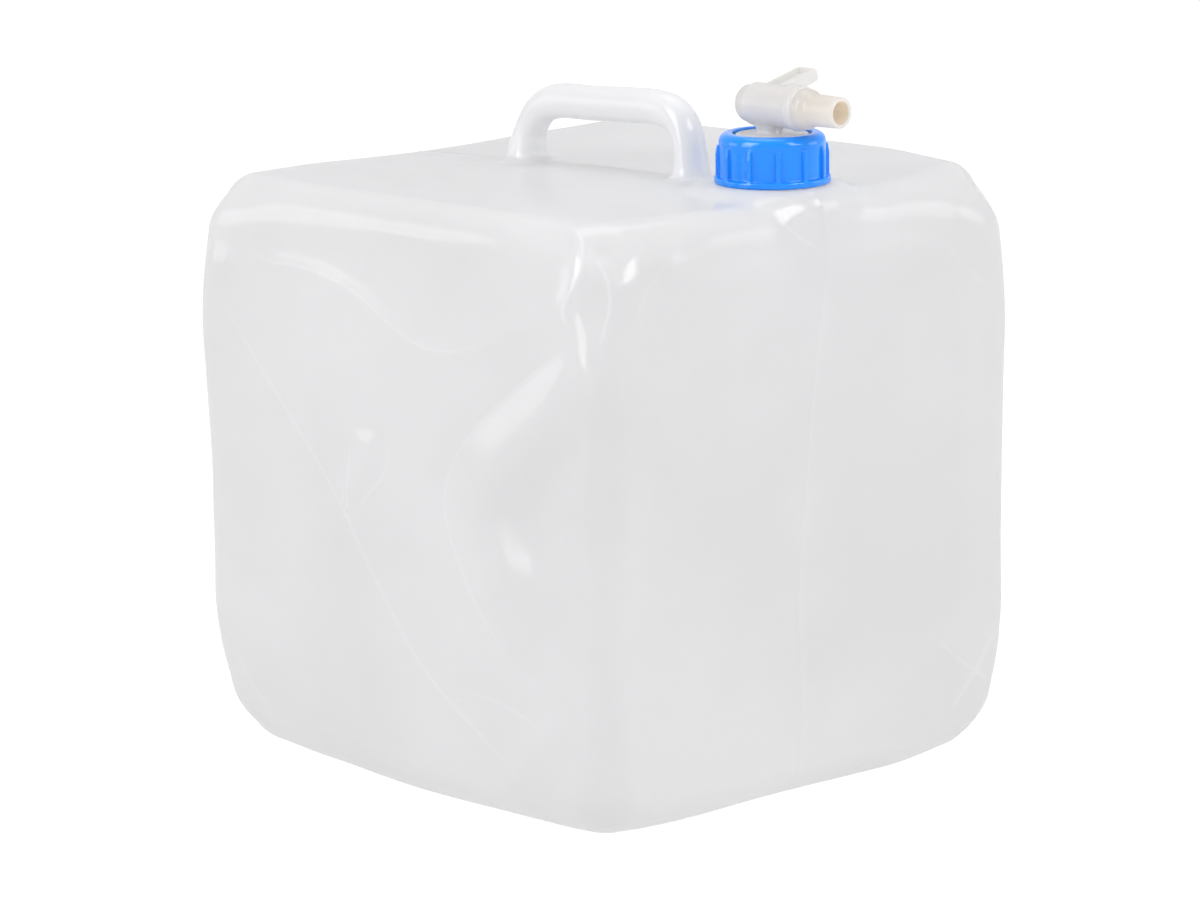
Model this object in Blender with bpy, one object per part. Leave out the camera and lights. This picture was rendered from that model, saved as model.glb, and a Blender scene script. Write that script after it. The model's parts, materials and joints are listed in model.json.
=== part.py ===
"""A collapsible water container with a ring cap and a tap.

The container is one soft moulding: a cube with soft corners, a carrying loop along the middle of
its top and a threaded neck near the +X edge. It is made as two solids, the walls and the top, so
that the top can sink towards the base. A washer lies on the neck's rim, the tap's disc lies on
the washer, and the ring cap screws down over both. The plug turns in the tap's barrel with its
lever and its spout.

Metres, +Z up. The origin is the middle of the flat base.
"""

import math

import bmesh
import bpy
from mathutils import Matrix, Vector

# Clearances
TOUCH_GAP = 0.0003
THREAD_PLAY = 0.0005
SINK = 0.0008

# Container body
SIDE = 0.290
HEIGHT = 0.292
FILM = 0.0010
EDGE_RADIUS = 0.014
CORNER_RADIUS = 0.029
CORNER_REACH = 0.085
CORNER_PULL = 0.0015
SIDE_BULGE = 0.003
TOP_DOME = 0.002
BULGE_EDGE_POWER = 8
JOIN_BELOW_TOP = 0.046
EDGE_STEPS = 2
FACE_STEPS = 8
STEP_CROWDING = 0.09

# Neck and its shoulder, which stands proud of the +X edge
NECK_FROM_SIDE = 0.0308
NECK_TILT = math.radians(1.4)
NECK_BORE_RADIUS = 0.0188
NECK_WALL = 0.0030
SHOULDER_PAST_CAP = 0.0081
SHOULDER_ROUND = 0.0095
SHOULDER_BELOW_CAP = 0.0010
SHOULDER_DROP = 0.0300
SHOULDER_TAPER = 0.0075

# Thread of the neck and the cap
THREAD_PITCH = 0.005
THREAD_DEPTH = 0.0016
THREAD_ROOT_WIDTH = 0.0026
THREAD_CREST_WIDTH = 0.0016
THREAD_BELOW_RIM = 0.0027
NECK_THREAD_TURNS = 1.5
CAP_THREAD_TURNS = 1.25
THREAD_STEPS = 28
THREAD_RUN_OUT = 2
THREAD_END_SHARE = 0.15

# Ring cap
CAP_CLEAR_OF_TOP = 0.0052
CAP_HEIGHT = 0.0245
CAP_WALL = 0.0017
CAP_TOP_THICKNESS = 0.0020
CAP_TOP_LAP = 0.0050
CAP_TOP_ROUND = 0.0030
CAP_BEAD_HEIGHT = 0.0036
CAP_BEAD_PROUD = 0.0023
CAP_RIBS = 12
CAP_RIB_WIDTH = 0.0022
CAP_RIB_PROUD = 0.0012
CAP_RIB_BELOW_TOP = 0.0055
CAP_RIB_SLOPE = 0.0020
CAP_RIB_PHASE = math.radians(22)

# Seal washer
SEAL_THICKNESS = 0.0018
SEAL_INSIDE_BORE = 0.0006

# Tap body
DISC_THICKNESS = 0.0022
DISC_PLATEAU_PLAY = 0.0014
DISC_FACE_BELOW_CAP = 0.0008
BARREL_RISE = 0.0134
BARREL_BACK = 0.0119
BARREL_FRONT = 0.0203
BARREL_WALL = 0.0016
BARREL_RIM_ROUND = 0.0008
RISER_BORE_RADIUS = 0.0036
RISER_WALL = 0.0024
RISER_RIB_REACH = 0.0105
RISER_RIB_THICKNESS = 0.0018
STOP_LUG_LENGTH = 0.0045
STOP_LUG_WIDTH = 0.0050
STOP_LUG_PROUD = 0.0012

# Tap plug
PLUG_RADIUS = 0.0083
PLUG_WALL = 0.0028
PLUG_PORT_RADIUS = 0.0036
HUB_LENGTH = 0.0056
HUB_PROUD = 0.0005
HUB_ROUND = 0.0036
SNAP_PROUD = 0.0004
SNAP_LENGTH = 0.0018
SPOUT_CONE_LENGTH = 0.0036
SPOUT_LENGTH = 0.0186
SPOUT_ROOT_WALL = 0.0019
SPOUT_TIP_WALL = 0.0016
SPOUT_LIP_ROUND = 0.0006
BORE_BACK_WALL = 0.0030
LEVER_REACH = 0.0430
LEVER_DEPTH = 0.0068
LEVER_WIDTH = 0.0090
LEVER_WALL = 0.0015
LEVER_TIP_ROUND = 0.0024
LEVER_TIP_CHAMFER = 0.0022
LEVER_POCKET_START = 0.0130
LEVER_POCKET_DEPTH = 0.0024
LEVER_CLEAR_OF_BARREL = 0.0012
LEVER_RISE = math.radians(14.5)

# Carrying loop. Each station is a place in from the foot, a share of the bar's height, and what
# is added there to the bar's half width and half depth
LOOP_FROM_NECK = 0.0552
LOOP_SPAN = 0.1080
LOOP_WALL = 0.0016
LOOP_BAR_HEIGHT = 0.0335
LOOP_BAR_HALF = 0.0086
LOOP_FOOT_DEPTH = 0.0060
LOOP_LEFT_FOOT_FLARE = 0.0130
LOOP_RIGHT_FOOT_FLARE = 0.0060
LOOP_FOOT_THICKER = 0.0030
LOOP_LEFT_STATIONS = (
    (0.0010, 0.28, 0.0075, 0.0012),
    (0.0065, 0.72, 0.0032, 0.0),
    (0.0200, 0.97, 0.0004, 0.0),
    (0.0420, 1.00, 0.0, 0.0),
)
LOOP_RIGHT_STATIONS = (
    (0.0420, 1.02, 0.0, 0.0),
    (0.0190, 1.00, 0.0004, 0.0),
    (0.0055, 0.78, 0.0004, 0.0),
    (0.0000, 0.32, 0.0010, 0.0012),
)
LOOP_SIDES = 12
LOOP_STEPS = 22

# Fineness of round shapes, and the angle from which an edge looks sharp
ROUND_STEPS = 48
SMALL_ROUND_STEPS = 32
ARC_STEPS = 4
SHARP_ANGLE = math.radians(35)

# The exact solver loses thin shells that lie one inside the other, so those use the other one
NESTED_SOLVER = "MANIFOLD"

# Heights that follow from the sizes above. Those of the neck, the cap and the tap are counted
# along the neck's axis from the plane of the top
TOP_Z = HEIGHT
JOIN_Z = TOP_Z - JOIN_BELOW_TOP
CAP_BOTTOM_Z = CAP_CLEAR_OF_TOP
CAP_TOP_Z = CAP_BOTTOM_Z + CAP_HEIGHT
SHOULDER_TOP_Z = CAP_BOTTOM_Z - SHOULDER_BELOW_CAP
DISC_TOP_Z = CAP_TOP_Z - CAP_TOP_THICKNESS - TOUCH_GAP
DISC_BOTTOM_Z = DISC_TOP_Z - DISC_THICKNESS
SEAL_TOP_Z = DISC_BOTTOM_Z - TOUCH_GAP
SEAL_BOTTOM_Z = SEAL_TOP_Z - SEAL_THICKNESS
RIM_Z = SEAL_BOTTOM_Z - TOUCH_GAP
THREAD_START_Z = RIM_Z - THREAD_BELOW_RIM - NECK_THREAD_TURNS * THREAD_PITCH
DISC_FACE_Z = CAP_TOP_Z - DISC_FACE_BELOW_CAP
BARREL_Z = DISC_FACE_Z + BARREL_RISE

# Radii that follow from the sizes above
NECK_RADIUS = NECK_BORE_RADIUS + NECK_WALL
NECK_CREST_RADIUS = NECK_RADIUS + THREAD_DEPTH
CAP_INNER_RADIUS = NECK_CREST_RADIUS + THREAD_PLAY
CAP_CREST_RADIUS = CAP_INNER_RADIUS - THREAD_DEPTH
CAP_RADIUS = CAP_INNER_RADIUS + CAP_WALL
CAP_BEAD_RADIUS = CAP_RADIUS + CAP_BEAD_PROUD
CAP_HOLE_RADIUS = CAP_INNER_RADIUS - CAP_TOP_LAP
SHOULDER_RADIUS = CAP_BEAD_RADIUS + SHOULDER_PAST_CAP
SEAL_RADIUS = CAP_INNER_RADIUS - THREAD_PLAY
SEAL_INNER_RADIUS = NECK_BORE_RADIUS - SEAL_INSIDE_BORE
DISC_RADIUS = CAP_INNER_RADIUS - THREAD_PLAY
PLATEAU_RADIUS = CAP_HOLE_RADIUS - DISC_PLATEAU_PLAY
RISER_RADIUS = RISER_BORE_RADIUS + RISER_WALL
BARREL_BORE_RADIUS = PLUG_RADIUS + TOUCH_GAP
BARREL_RADIUS = BARREL_BORE_RADIUS + BARREL_WALL
HUB_RADIUS = PLUG_RADIUS + HUB_PROUD
PLUG_BORE_RADIUS = PLUG_RADIUS - PLUG_WALL
SPOUT_ROOT_RADIUS = PLUG_BORE_RADIUS + SPOUT_ROOT_WALL
SPOUT_TIP_RADIUS = PLUG_BORE_RADIUS + SPOUT_TIP_WALL

# Places along X that follow from the sizes above, those of the tap from the barrel's own centre
NECK_X = SIDE / 2 - NECK_FROM_SIDE
LOOP_RIGHT_FOOT_X = NECK_X - LOOP_FROM_NECK
LOOP_LEFT_FOOT_X = LOOP_RIGHT_FOOT_X - LOOP_SPAN
HUB_FRONT_X = -BARREL_BACK - TOUCH_GAP
HUB_BACK_X = HUB_FRONT_X - HUB_LENGTH
SNAP_X = BARREL_FRONT + TOUCH_GAP
SPOUT_ROOT_X = SNAP_X + SNAP_LENGTH + SPOUT_CONE_LENGTH
SPOUT_TIP_X = SPOUT_ROOT_X + SPOUT_LENGTH


def clear_scene():
    for old in list(bpy.data.objects):
        bpy.data.objects.remove(old, do_unlink=True)


def plastic(name, colour, roughness):
    """A plain moulded plastic for one node."""
    material = bpy.data.materials.new(name)
    material.use_nodes = True
    shader = material.node_tree.nodes["Principled BSDF"]
    shader.inputs["Base Color"].default_value = (*colour, 1.0)
    shader.inputs["Roughness"].default_value = roughness
    shader.inputs["Metallic"].default_value = 0.0
    return material


def add_object(name, bm, parent=None):
    """An object at its parent's place, from a mesh made round its own origin."""
    bmesh.ops.recalc_face_normals(bm, faces=bm.faces)
    mesh = bpy.data.meshes.new(name)
    bm.to_mesh(mesh)
    bm.free()
    mesh.shade_smooth()
    mesh.set_sharp_from_angle(angle=SHARP_ANGLE)
    made = bpy.data.objects.new(name, mesh)
    bpy.context.scene.collection.objects.link(made)
    made.parent = parent
    return made


def add_empty(name, place, parent=None):
    """An empty at a place in its parent's frame, on the axis of what hangs on it."""
    made = bpy.data.objects.new(name, None)
    bpy.context.scene.collection.objects.link(made)
    made.parent = parent
    made.location = place
    return made


def join(target, tool, operation, solver="EXACT"):
    """Unite or cut with a tool that stays out of the model."""
    tool.hide_render = True
    tool.display_type = "WIRE"
    step = target.modifiers.new(tool.name, "BOOLEAN")
    step.object = tool
    step.operation = operation
    step.solver = solver


def arc(centre, radius, start, end, steps):
    """Points on an arc in a plane, angles in degrees."""
    points = []
    for i in range(steps + 1):
        angle = math.radians(start + (end - start) * i / steps)
        points.append((centre[0] + radius * math.cos(angle), centre[1] + radius * math.sin(angle)))
    return points


def turned(profile, steps):
    """A closed profile of (radius, height) points, spun round Z."""
    bm = bmesh.new()
    ring = [bm.verts.new((radius, 0.0, height)) for radius, height in profile]
    edges = [bm.edges.new((ring[i], ring[(i + 1) % len(ring)])) for i in range(len(ring))]
    on_axis = [e for e in edges if all(v.co.x < 1e-7 for v in e.verts)]
    bmesh.ops.delete(bm, geom=on_axis, context="EDGES")
    bmesh.ops.spin(
        bm,
        geom=bm.verts[:] + bm.edges[:],
        cent=(0, 0, 0),
        axis=(0, 0, 1),
        angle=math.tau,
        steps=steps,
        use_merge=True,
    )
    bmesh.ops.remove_doubles(bm, verts=bm.verts, dist=1e-6)
    return bm


def column(radius, low, high, steps):
    """An upright round bar."""
    return turned([(0.0, low), (radius, low), (radius, high), (0.0, high)], steps)


def turned_along_x(profile, steps):
    """A closed profile of (place along X, radius) points, spun round X."""
    bm = turned([(radius, along) for along, radius in profile], steps)
    bmesh.ops.rotate(bm, verts=bm.verts, matrix=Matrix.Rotation(math.radians(90), 3, "Y"))
    return bm


def skin(loops):
    """A tube through loops of points, closed by a face at each end."""
    bm = bmesh.new()
    rings = [[bm.verts.new(point) for point in loop] for loop in loops]
    for low, high in zip(rings, rings[1:]):
        for i in range(len(low)):
            j = (i + 1) % len(low)
            bm.faces.new((low[i], low[j], high[j], high[i]))
    bm.faces.new(list(reversed(rings[0])))
    bm.faces.new(rings[-1])
    return bm


def box(low, high):
    """A box between two corners."""
    bm = bmesh.new()
    bmesh.ops.create_cube(bm, size=1.0)
    size = Vector(high) - Vector(low)
    bmesh.ops.scale(bm, verts=bm.verts, vec=size)
    bmesh.ops.translate(bm, verts=bm.verts, vec=(Vector(low) + Vector(high)) / 2)
    return bm


def extruded(outline, axis, low, high):
    """A flat outline in the two other axes, run along an axis from low to high."""
    rest = [i for i in range(3) if i != axis]
    loops = []
    for along in (low, high):
        loop = []
        for first, second in outline:
            point = [0.0, 0.0, 0.0]
            point[axis] = along
            point[rest[0]] = first
            point[rest[1]] = second
            loop.append(point)
        loops.append(loop)
    return skin(loops)


def grid_stop(index, half, radius):
    """The place of a grid line on a face: close together round the edges, even between."""
    last = 2 * EDGE_STEPS + FACE_STEPS
    flat = half - radius
    if index > last / 2:
        return -grid_stop(last - index, half, radius)
    if index <= EDGE_STEPS:
        turn = math.radians(45) * (EDGE_STEPS - index) / EDGE_STEPS
        return -flat - radius * math.tan(turn)
    even = 2 * (index - EDGE_STEPS) / FACE_STEPS - 1
    return flat * (even + STEP_CROWDING * math.sin(math.pi * even))


def corner_share(point, half):
    """0 away from the cube's corners, rising smoothly to 1 at a corner."""
    corner = Vector([math.copysign(half[i], point[i]) for i in range(3)])
    near = max(1 - (corner - point).length / CORNER_REACH, 0.0)
    return near * near * (3 - 2 * near)


def rounded(place, half, inset):
    """A point of the sharp cube moved onto the rounded one, whose corners are rounder and drawn in."""
    share = corner_share(place, half)
    radius = EDGE_RADIUS + (CORNER_RADIUS - EDGE_RADIUS) * share - inset
    core = Vector([max(-half[i] + radius, min(half[i] - radius, place[i])) for i in range(3)])
    inward = -Vector([math.copysign(1.0, place[i]) for i in range(3)]).normalized()
    return core + (place - core).normalized() * radius + inward * CORNER_PULL * share


def swell(point, half):
    """Bulge the sides and dome the top. The base stays flat."""
    share = [min(abs(point[i]) / half[i], 1.0) for i in range(3)]
    fall = [1 - s * s for s in share]
    moved = point.copy()
    moved.x += math.copysign(SIDE_BULGE, point.x) * fall[1] * fall[2] * share[0] ** BULGE_EDGE_POWER
    moved.y += math.copysign(SIDE_BULGE, point.y) * fall[0] * fall[2] * share[1] ** BULGE_EDGE_POWER
    if point.z > 0:
        moved.z += TOP_DOME * fall[0] * fall[1] * share[2] ** BULGE_EDGE_POWER
    return moved


def body_form(inset):
    """The soft cube, or the space inside it when inset is the film's thickness."""
    half = Vector((SIDE / 2 - inset, SIDE / 2 - inset, HEIGHT / 2 - inset))
    radius = EDGE_RADIUS - inset
    last = 2 * EDGE_STEPS + FACE_STEPS
    bm = bmesh.new()
    bmesh.ops.create_cube(bm, size=2.0)
    bmesh.ops.subdivide_edges(bm, edges=bm.edges, cuts=last - 1, use_grid_fill=True)
    for vert in bm.verts:
        place = Vector([grid_stop(round((vert.co[i] + 1) / 2 * last), half[i], radius) for i in range(3)])
        vert.co = swell(rounded(place, half, inset), half)
    bmesh.ops.translate(bm, verts=bm.verts, vec=(0, 0, HEIGHT / 2))
    return bm


def shoulder_form(inset):
    """The round shoulder under the cap, which stands proud of the +X edge."""
    radius = SHOULDER_RADIUS - inset
    top = SHOULDER_TOP_Z - inset
    low = -SHOULDER_DROP
    centre = (radius - SHOULDER_ROUND, top - SHOULDER_ROUND)
    profile = [(0.0, low), (radius - SHOULDER_TAPER, low)]
    profile += arc(centre, SHOULDER_ROUND, 0, 90, ARC_STEPS)
    profile.append((0.0, top))
    return turned(profile, ROUND_STEPS)


def helix(root, crest, turns, start_z, sign):
    """A thread's ridge. sign is 1 where it stands outwards and -1 where it stands inwards."""
    steps = round(turns * THREAD_STEPS)
    loops = []
    for i in range(steps + 1):
        angle = math.tau * i / THREAD_STEPS
        middle = start_z + THREAD_PITCH * i / THREAD_STEPS
        fade = min(i, steps - i, THREAD_RUN_OUT) / THREAD_RUN_OUT
        height = (crest - root) * (THREAD_END_SHARE + (1 - THREAD_END_SHARE) * fade)
        corners = (
            (root - sign * SINK, -THREAD_ROOT_WIDTH / 2),
            (root + height, -THREAD_CREST_WIDTH / 2),
            (root + height, THREAD_CREST_WIDTH / 2),
            (root - sign * SINK, THREAD_ROOT_WIDTH / 2),
        )
        direction = Vector((math.cos(angle), math.sin(angle), 0))
        loops.append([direction * radius + Vector((0, 0, middle + up)) for radius, up in corners])
    return skin(loops)


def blend_value(values, place):
    """A smooth curve through evenly spaced values, place from 0 to 1."""
    spans = len(values) - 1
    at = min(int(place * spans), spans - 1)
    t = place * spans - at
    before = values[max(at - 1, 0)]
    after = values[min(at + 2, spans)]
    start, end = values[at], values[at + 1]
    bend_in = (end - before) / 2
    bend_out = (after - start) / 2
    return (
        (2 * t**3 - 3 * t**2 + 1) * start
        + (t**3 - 2 * t**2 + t) * bend_in
        + (3 * t**2 - 2 * t**3) * end
        + (t**3 - t**2) * bend_out
    )


def loop_stations():
    """Centre, half width and half depth of the carrying loop, from the left foot to the right."""
    foot_half = LOOP_BAR_HALF + LOOP_FOOT_THICKER
    stations = [(LOOP_LEFT_FOOT_X, -LOOP_FOOT_DEPTH, LOOP_BAR_HALF + LOOP_LEFT_FOOT_FLARE, foot_half)]
    for start, sign, places in (
        (LOOP_LEFT_FOOT_X, 1, LOOP_LEFT_STATIONS),
        (LOOP_RIGHT_FOOT_X, -1, LOOP_RIGHT_STATIONS),
    ):
        for inward, share, wider, thicker in places:
            place = start + sign * inward
            stations.append((place, share * LOOP_BAR_HEIGHT, LOOP_BAR_HALF + wider, LOOP_BAR_HALF + thicker))
    stations.append((LOOP_RIGHT_FOOT_X, -LOOP_FOOT_DEPTH, LOOP_BAR_HALF + LOOP_RIGHT_FOOT_FLARE, foot_half))
    return stations


def loop_form(inset):
    """The carrying loop, or the space inside it."""
    tracks = list(zip(*loop_stations()))
    points = []
    for i in range(LOOP_STEPS + 1):
        points.append([blend_value(track, i / LOOP_STEPS) for track in tracks])
    loops = []
    for i, (x, z, width, depth) in enumerate(points):
        before = points[max(i - 1, 0)]
        after = points[min(i + 1, LOOP_STEPS)]
        ahead = Vector((after[0] - before[0], 0, after[1] - before[1])).normalized()
        across = Vector((-ahead.z, 0, ahead.x))
        centre = Vector((x, 0, z))
        loop = []
        for k in range(LOOP_SIDES):
            angle = math.tau * (k + 0.5) / LOOP_SIDES
            offset = across * (width - inset) * math.cos(angle)
            offset.y += (depth - inset) * math.sin(angle)
            loop.append(centre + offset)
        loops.append(loop)
    return skin(loops)


def make_container_walls():
    walls = add_object("container_walls", body_form(0.0))
    walls.data.materials.append(plastic("walls_film", (0.72, 0.73, 0.74), 0.25))
    join(walls, add_object("walls_inside", body_form(FILM)), "DIFFERENCE", NESTED_SOLVER)
    reach = SIDE
    above = box((-reach, -reach, JOIN_Z - TOUCH_GAP / 2), (reach, reach, 2 * HEIGHT))
    join(walls, add_object("walls_above", above), "DIFFERENCE", NESTED_SOLVER)


def make_container_top(top_frame, neck_frame):
    top = add_object("container_top", body_form(0.0))
    top.data.materials.append(plastic("top_film", (0.74, 0.75, 0.76), 0.25))
    neck = column(NECK_RADIUS, -SHOULDER_ROUND, RIM_Z, ROUND_STEPS)
    bore = column(NECK_BORE_RADIUS, -SHOULDER_DROP, CAP_TOP_Z, ROUND_STEPS)
    thread = helix(NECK_RADIUS, NECK_CREST_RADIUS, NECK_THREAD_TURNS, THREAD_START_Z, 1)
    reach = SIDE
    below = box((-reach, -reach, -HEIGHT), (reach, reach, JOIN_Z + TOUCH_GAP / 2))
    added = (
        ("top_shoulder", shoulder_form(0.0), neck_frame, "UNION"),
        ("top_neck", neck, neck_frame, "UNION"),
        ("top_thread", thread, neck_frame, "UNION"),
        ("top_loop", loop_form(0.0), top_frame, "UNION"),
        ("top_inside", body_form(FILM), None, "DIFFERENCE"),
        ("top_shoulder_inside", shoulder_form(FILM), neck_frame, "DIFFERENCE"),
        ("top_neck_bore", bore, neck_frame, "DIFFERENCE"),
        ("top_loop_inside", loop_form(LOOP_WALL), top_frame, "DIFFERENCE"),
        ("top_below", below, None, "DIFFERENCE"),
    )
    for name, bm, frame, operation in added:
        join(top, add_object(name, bm, frame), operation, NESTED_SOLVER)


def make_cap_seal(carrier):
    """The washer between the neck's rim and the tap's disc."""
    inner = SEAL_INNER_RADIUS
    low = SEAL_BOTTOM_Z
    high = SEAL_TOP_Z
    profile = [(inner, low), (SEAL_RADIUS, low), (SEAL_RADIUS, high), (inner, high)]
    seal = add_object("cap_seal", turned(profile, ROUND_STEPS), carrier)
    seal.data.materials.append(plastic("seal_rubber", (0.62, 0.62, 0.60), 0.6))


def cap_profile():
    """The ring cap without ribs and thread: foot bead, skirt, rounded shoulder and top with its hole."""
    low = CAP_BOTTOM_Z
    half = CAP_BEAD_HEIGHT / 2
    profile = [(CAP_INNER_RADIUS, low)]
    profile += arc((CAP_BEAD_RADIUS - half, low + half), half, -90, 60, ARC_STEPS + 1)
    profile.append((CAP_RADIUS, low + CAP_BEAD_HEIGHT + half / 2))
    centre = (CAP_RADIUS - CAP_TOP_ROUND, CAP_TOP_Z - CAP_TOP_ROUND)
    profile += arc(centre, CAP_TOP_ROUND, 0, 90, ARC_STEPS)
    edge = CAP_TOP_THICKNESS / 4
    profile.append((CAP_HOLE_RADIUS + edge, CAP_TOP_Z))
    profile.append((CAP_HOLE_RADIUS, CAP_TOP_Z - edge))
    profile.append((CAP_HOLE_RADIUS, CAP_TOP_Z - CAP_TOP_THICKNESS))
    profile.append((CAP_INNER_RADIUS, CAP_TOP_Z - CAP_TOP_THICKNESS))
    return profile


def cap_rib():
    """One upright rib of the skirt, running into the foot bead and sloping off at its top."""
    root = CAP_RADIUS - SINK
    crest = CAP_RADIUS + CAP_RIB_PROUD
    top = CAP_TOP_Z - CAP_RIB_BELOW_TOP
    foot = CAP_BOTTOM_Z + CAP_BEAD_HEIGHT / 2
    outline = [(root, foot), (crest, foot), (crest, top - CAP_RIB_SLOPE), (root, top)]
    return extruded(outline, 1, -CAP_RIB_WIDTH / 2, CAP_RIB_WIDTH / 2)


def make_cap_ring(carrier):
    cap = add_object("cap_ring", turned(cap_profile(), ROUND_STEPS), carrier)
    cap.data.materials.append(plastic("cap_blue", (0.01, 0.21, 0.93), 0.25))
    ribs = bmesh.new()
    for i in range(CAP_RIBS):
        rib = cap_rib()
        turn = Matrix.Rotation(CAP_RIB_PHASE + math.tau * i / CAP_RIBS, 3, "Z")
        bmesh.ops.rotate(rib, verts=rib.verts, matrix=turn)
        mesh = bpy.data.meshes.new("rib")
        rib.to_mesh(mesh)
        ribs.from_mesh(mesh)
        rib.free()
        bpy.data.meshes.remove(mesh)
    join(cap, add_object("cap_ribs", ribs, carrier), "UNION")
    start = THREAD_START_Z - THREAD_PITCH / 2
    thread = helix(CAP_INNER_RADIUS, CAP_CREST_RADIUS, CAP_THREAD_TURNS, start, -1)
    join(cap, add_object("cap_thread", thread, carrier), "UNION")


def make_tap_body(carrier):
    """Disc, riser and barrel of the tap."""
    disc = turned(
        [
            (0.0, DISC_BOTTOM_Z),
            (DISC_RADIUS, DISC_BOTTOM_Z),
            (DISC_RADIUS, DISC_TOP_Z),
            (PLATEAU_RADIUS, DISC_TOP_Z),
            (PLATEAU_RADIUS, DISC_FACE_Z),
            (0.0, DISC_FACE_Z),
        ],
        ROUND_STEPS,
    )
    tap = add_object("tap_body", disc, carrier)
    tap.data.materials.append(plastic("tap_natural", (0.70, 0.71, 0.72), 0.35))
    riser_low = DISC_FACE_Z - SINK
    riser = column(RISER_RADIUS, riser_low, BARREL_Z, SMALL_ROUND_STEPS)
    rib_half = RISER_RIB_THICKNESS / 2
    rib = box((0, -rib_half, riser_low), (RISER_RIB_REACH, rib_half, BARREL_Z))
    rim = BARREL_RADIUS - BARREL_RIM_ROUND
    barrel = [(-BARREL_BACK, 0.0), (-BARREL_BACK, rim), (-BARREL_BACK + BARREL_RIM_ROUND, BARREL_RADIUS)]
    barrel += [(BARREL_FRONT - BARREL_RIM_ROUND, BARREL_RADIUS), (BARREL_FRONT, rim), (BARREL_FRONT, 0.0)]
    lug_half = STOP_LUG_WIDTH / 2
    lug_top = BARREL_Z + BARREL_RADIUS + STOP_LUG_PROUD
    lug = box(
        (BARREL_FRONT - STOP_LUG_LENGTH, -lug_half, BARREL_Z + BARREL_RADIUS - 2 * SINK),
        (BARREL_FRONT - BARREL_RIM_ROUND, lug_half, lug_top),
    )
    past = 2 * BARREL_FRONT
    cut = [(-past, 0.0), (-past, BARREL_BORE_RADIUS), (past, BARREL_BORE_RADIUS), (past, 0.0)]
    hole_low = DISC_BOTTOM_Z - DISC_THICKNESS
    hole = column(RISER_BORE_RADIUS, hole_low, BARREL_Z, SMALL_ROUND_STEPS // 2)
    join(tap, add_object("tap_riser", riser, carrier), "UNION", NESTED_SOLVER)
    join(tap, add_object("tap_rib", rib, carrier), "UNION", NESTED_SOLVER)
    barrel_form = add_object("tap_barrel", turned_along_x(barrel, SMALL_ROUND_STEPS), carrier)
    barrel_form.location.z = BARREL_Z
    join(tap, barrel_form, "UNION", NESTED_SOLVER)
    join(tap, add_object("tap_lug", lug, carrier), "UNION", NESTED_SOLVER)
    bore_form = add_object("tap_barrel_bore", turned_along_x(cut, SMALL_ROUND_STEPS), carrier)
    bore_form.location.z = BARREL_Z
    join(tap, bore_form, "DIFFERENCE", NESTED_SOLVER)
    hole_form = add_object("tap_riser_bore", hole, carrier)
    join(tap, hole_form, "DIFFERENCE", NESTED_SOLVER)


def plug_profile():
    """Closed hub, plug, snap ridge, cone and spout, as (place along X, radius) points."""
    lip = SPOUT_LIP_ROUND
    profile = [(HUB_BACK_X, 0.0)]
    profile += arc((HUB_BACK_X + HUB_ROUND, HUB_RADIUS - HUB_ROUND), HUB_ROUND, 180, 90, ARC_STEPS)
    profile += [(HUB_FRONT_X, HUB_RADIUS), (HUB_FRONT_X, PLUG_RADIUS), (SNAP_X, PLUG_RADIUS)]
    profile += [(SNAP_X, PLUG_RADIUS + SNAP_PROUD), (SNAP_X + SNAP_LENGTH, PLUG_RADIUS)]
    profile.append((SPOUT_ROOT_X, SPOUT_ROOT_RADIUS))
    profile += [(SPOUT_TIP_X - lip, SPOUT_TIP_RADIUS), (SPOUT_TIP_X, SPOUT_TIP_RADIUS - lip)]
    profile += [(SPOUT_TIP_X, PLUG_BORE_RADIUS + lip / 2), (SPOUT_TIP_X - lip / 2, PLUG_BORE_RADIUS)]
    bore_end = HUB_FRONT_X + BORE_BACK_WALL
    profile += [(bore_end, PLUG_BORE_RADIUS), (bore_end, 0.0)]
    return profile


def lever_outline(start):
    """The lever from the side: (reach, up) points from its start out to the rounded tip."""
    half = LEVER_DEPTH / 2
    outline = [(start, -half)]
    centre = (LEVER_REACH - LEVER_TIP_ROUND, LEVER_TIP_ROUND - half)
    outline += arc(centre, LEVER_TIP_ROUND, -90, 0, ARC_STEPS)
    outline.append((LEVER_REACH, half - LEVER_TIP_CHAMFER))
    outline.append((LEVER_REACH - LEVER_TIP_CHAMFER, half))
    outline.append((start, half))
    return outline


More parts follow.
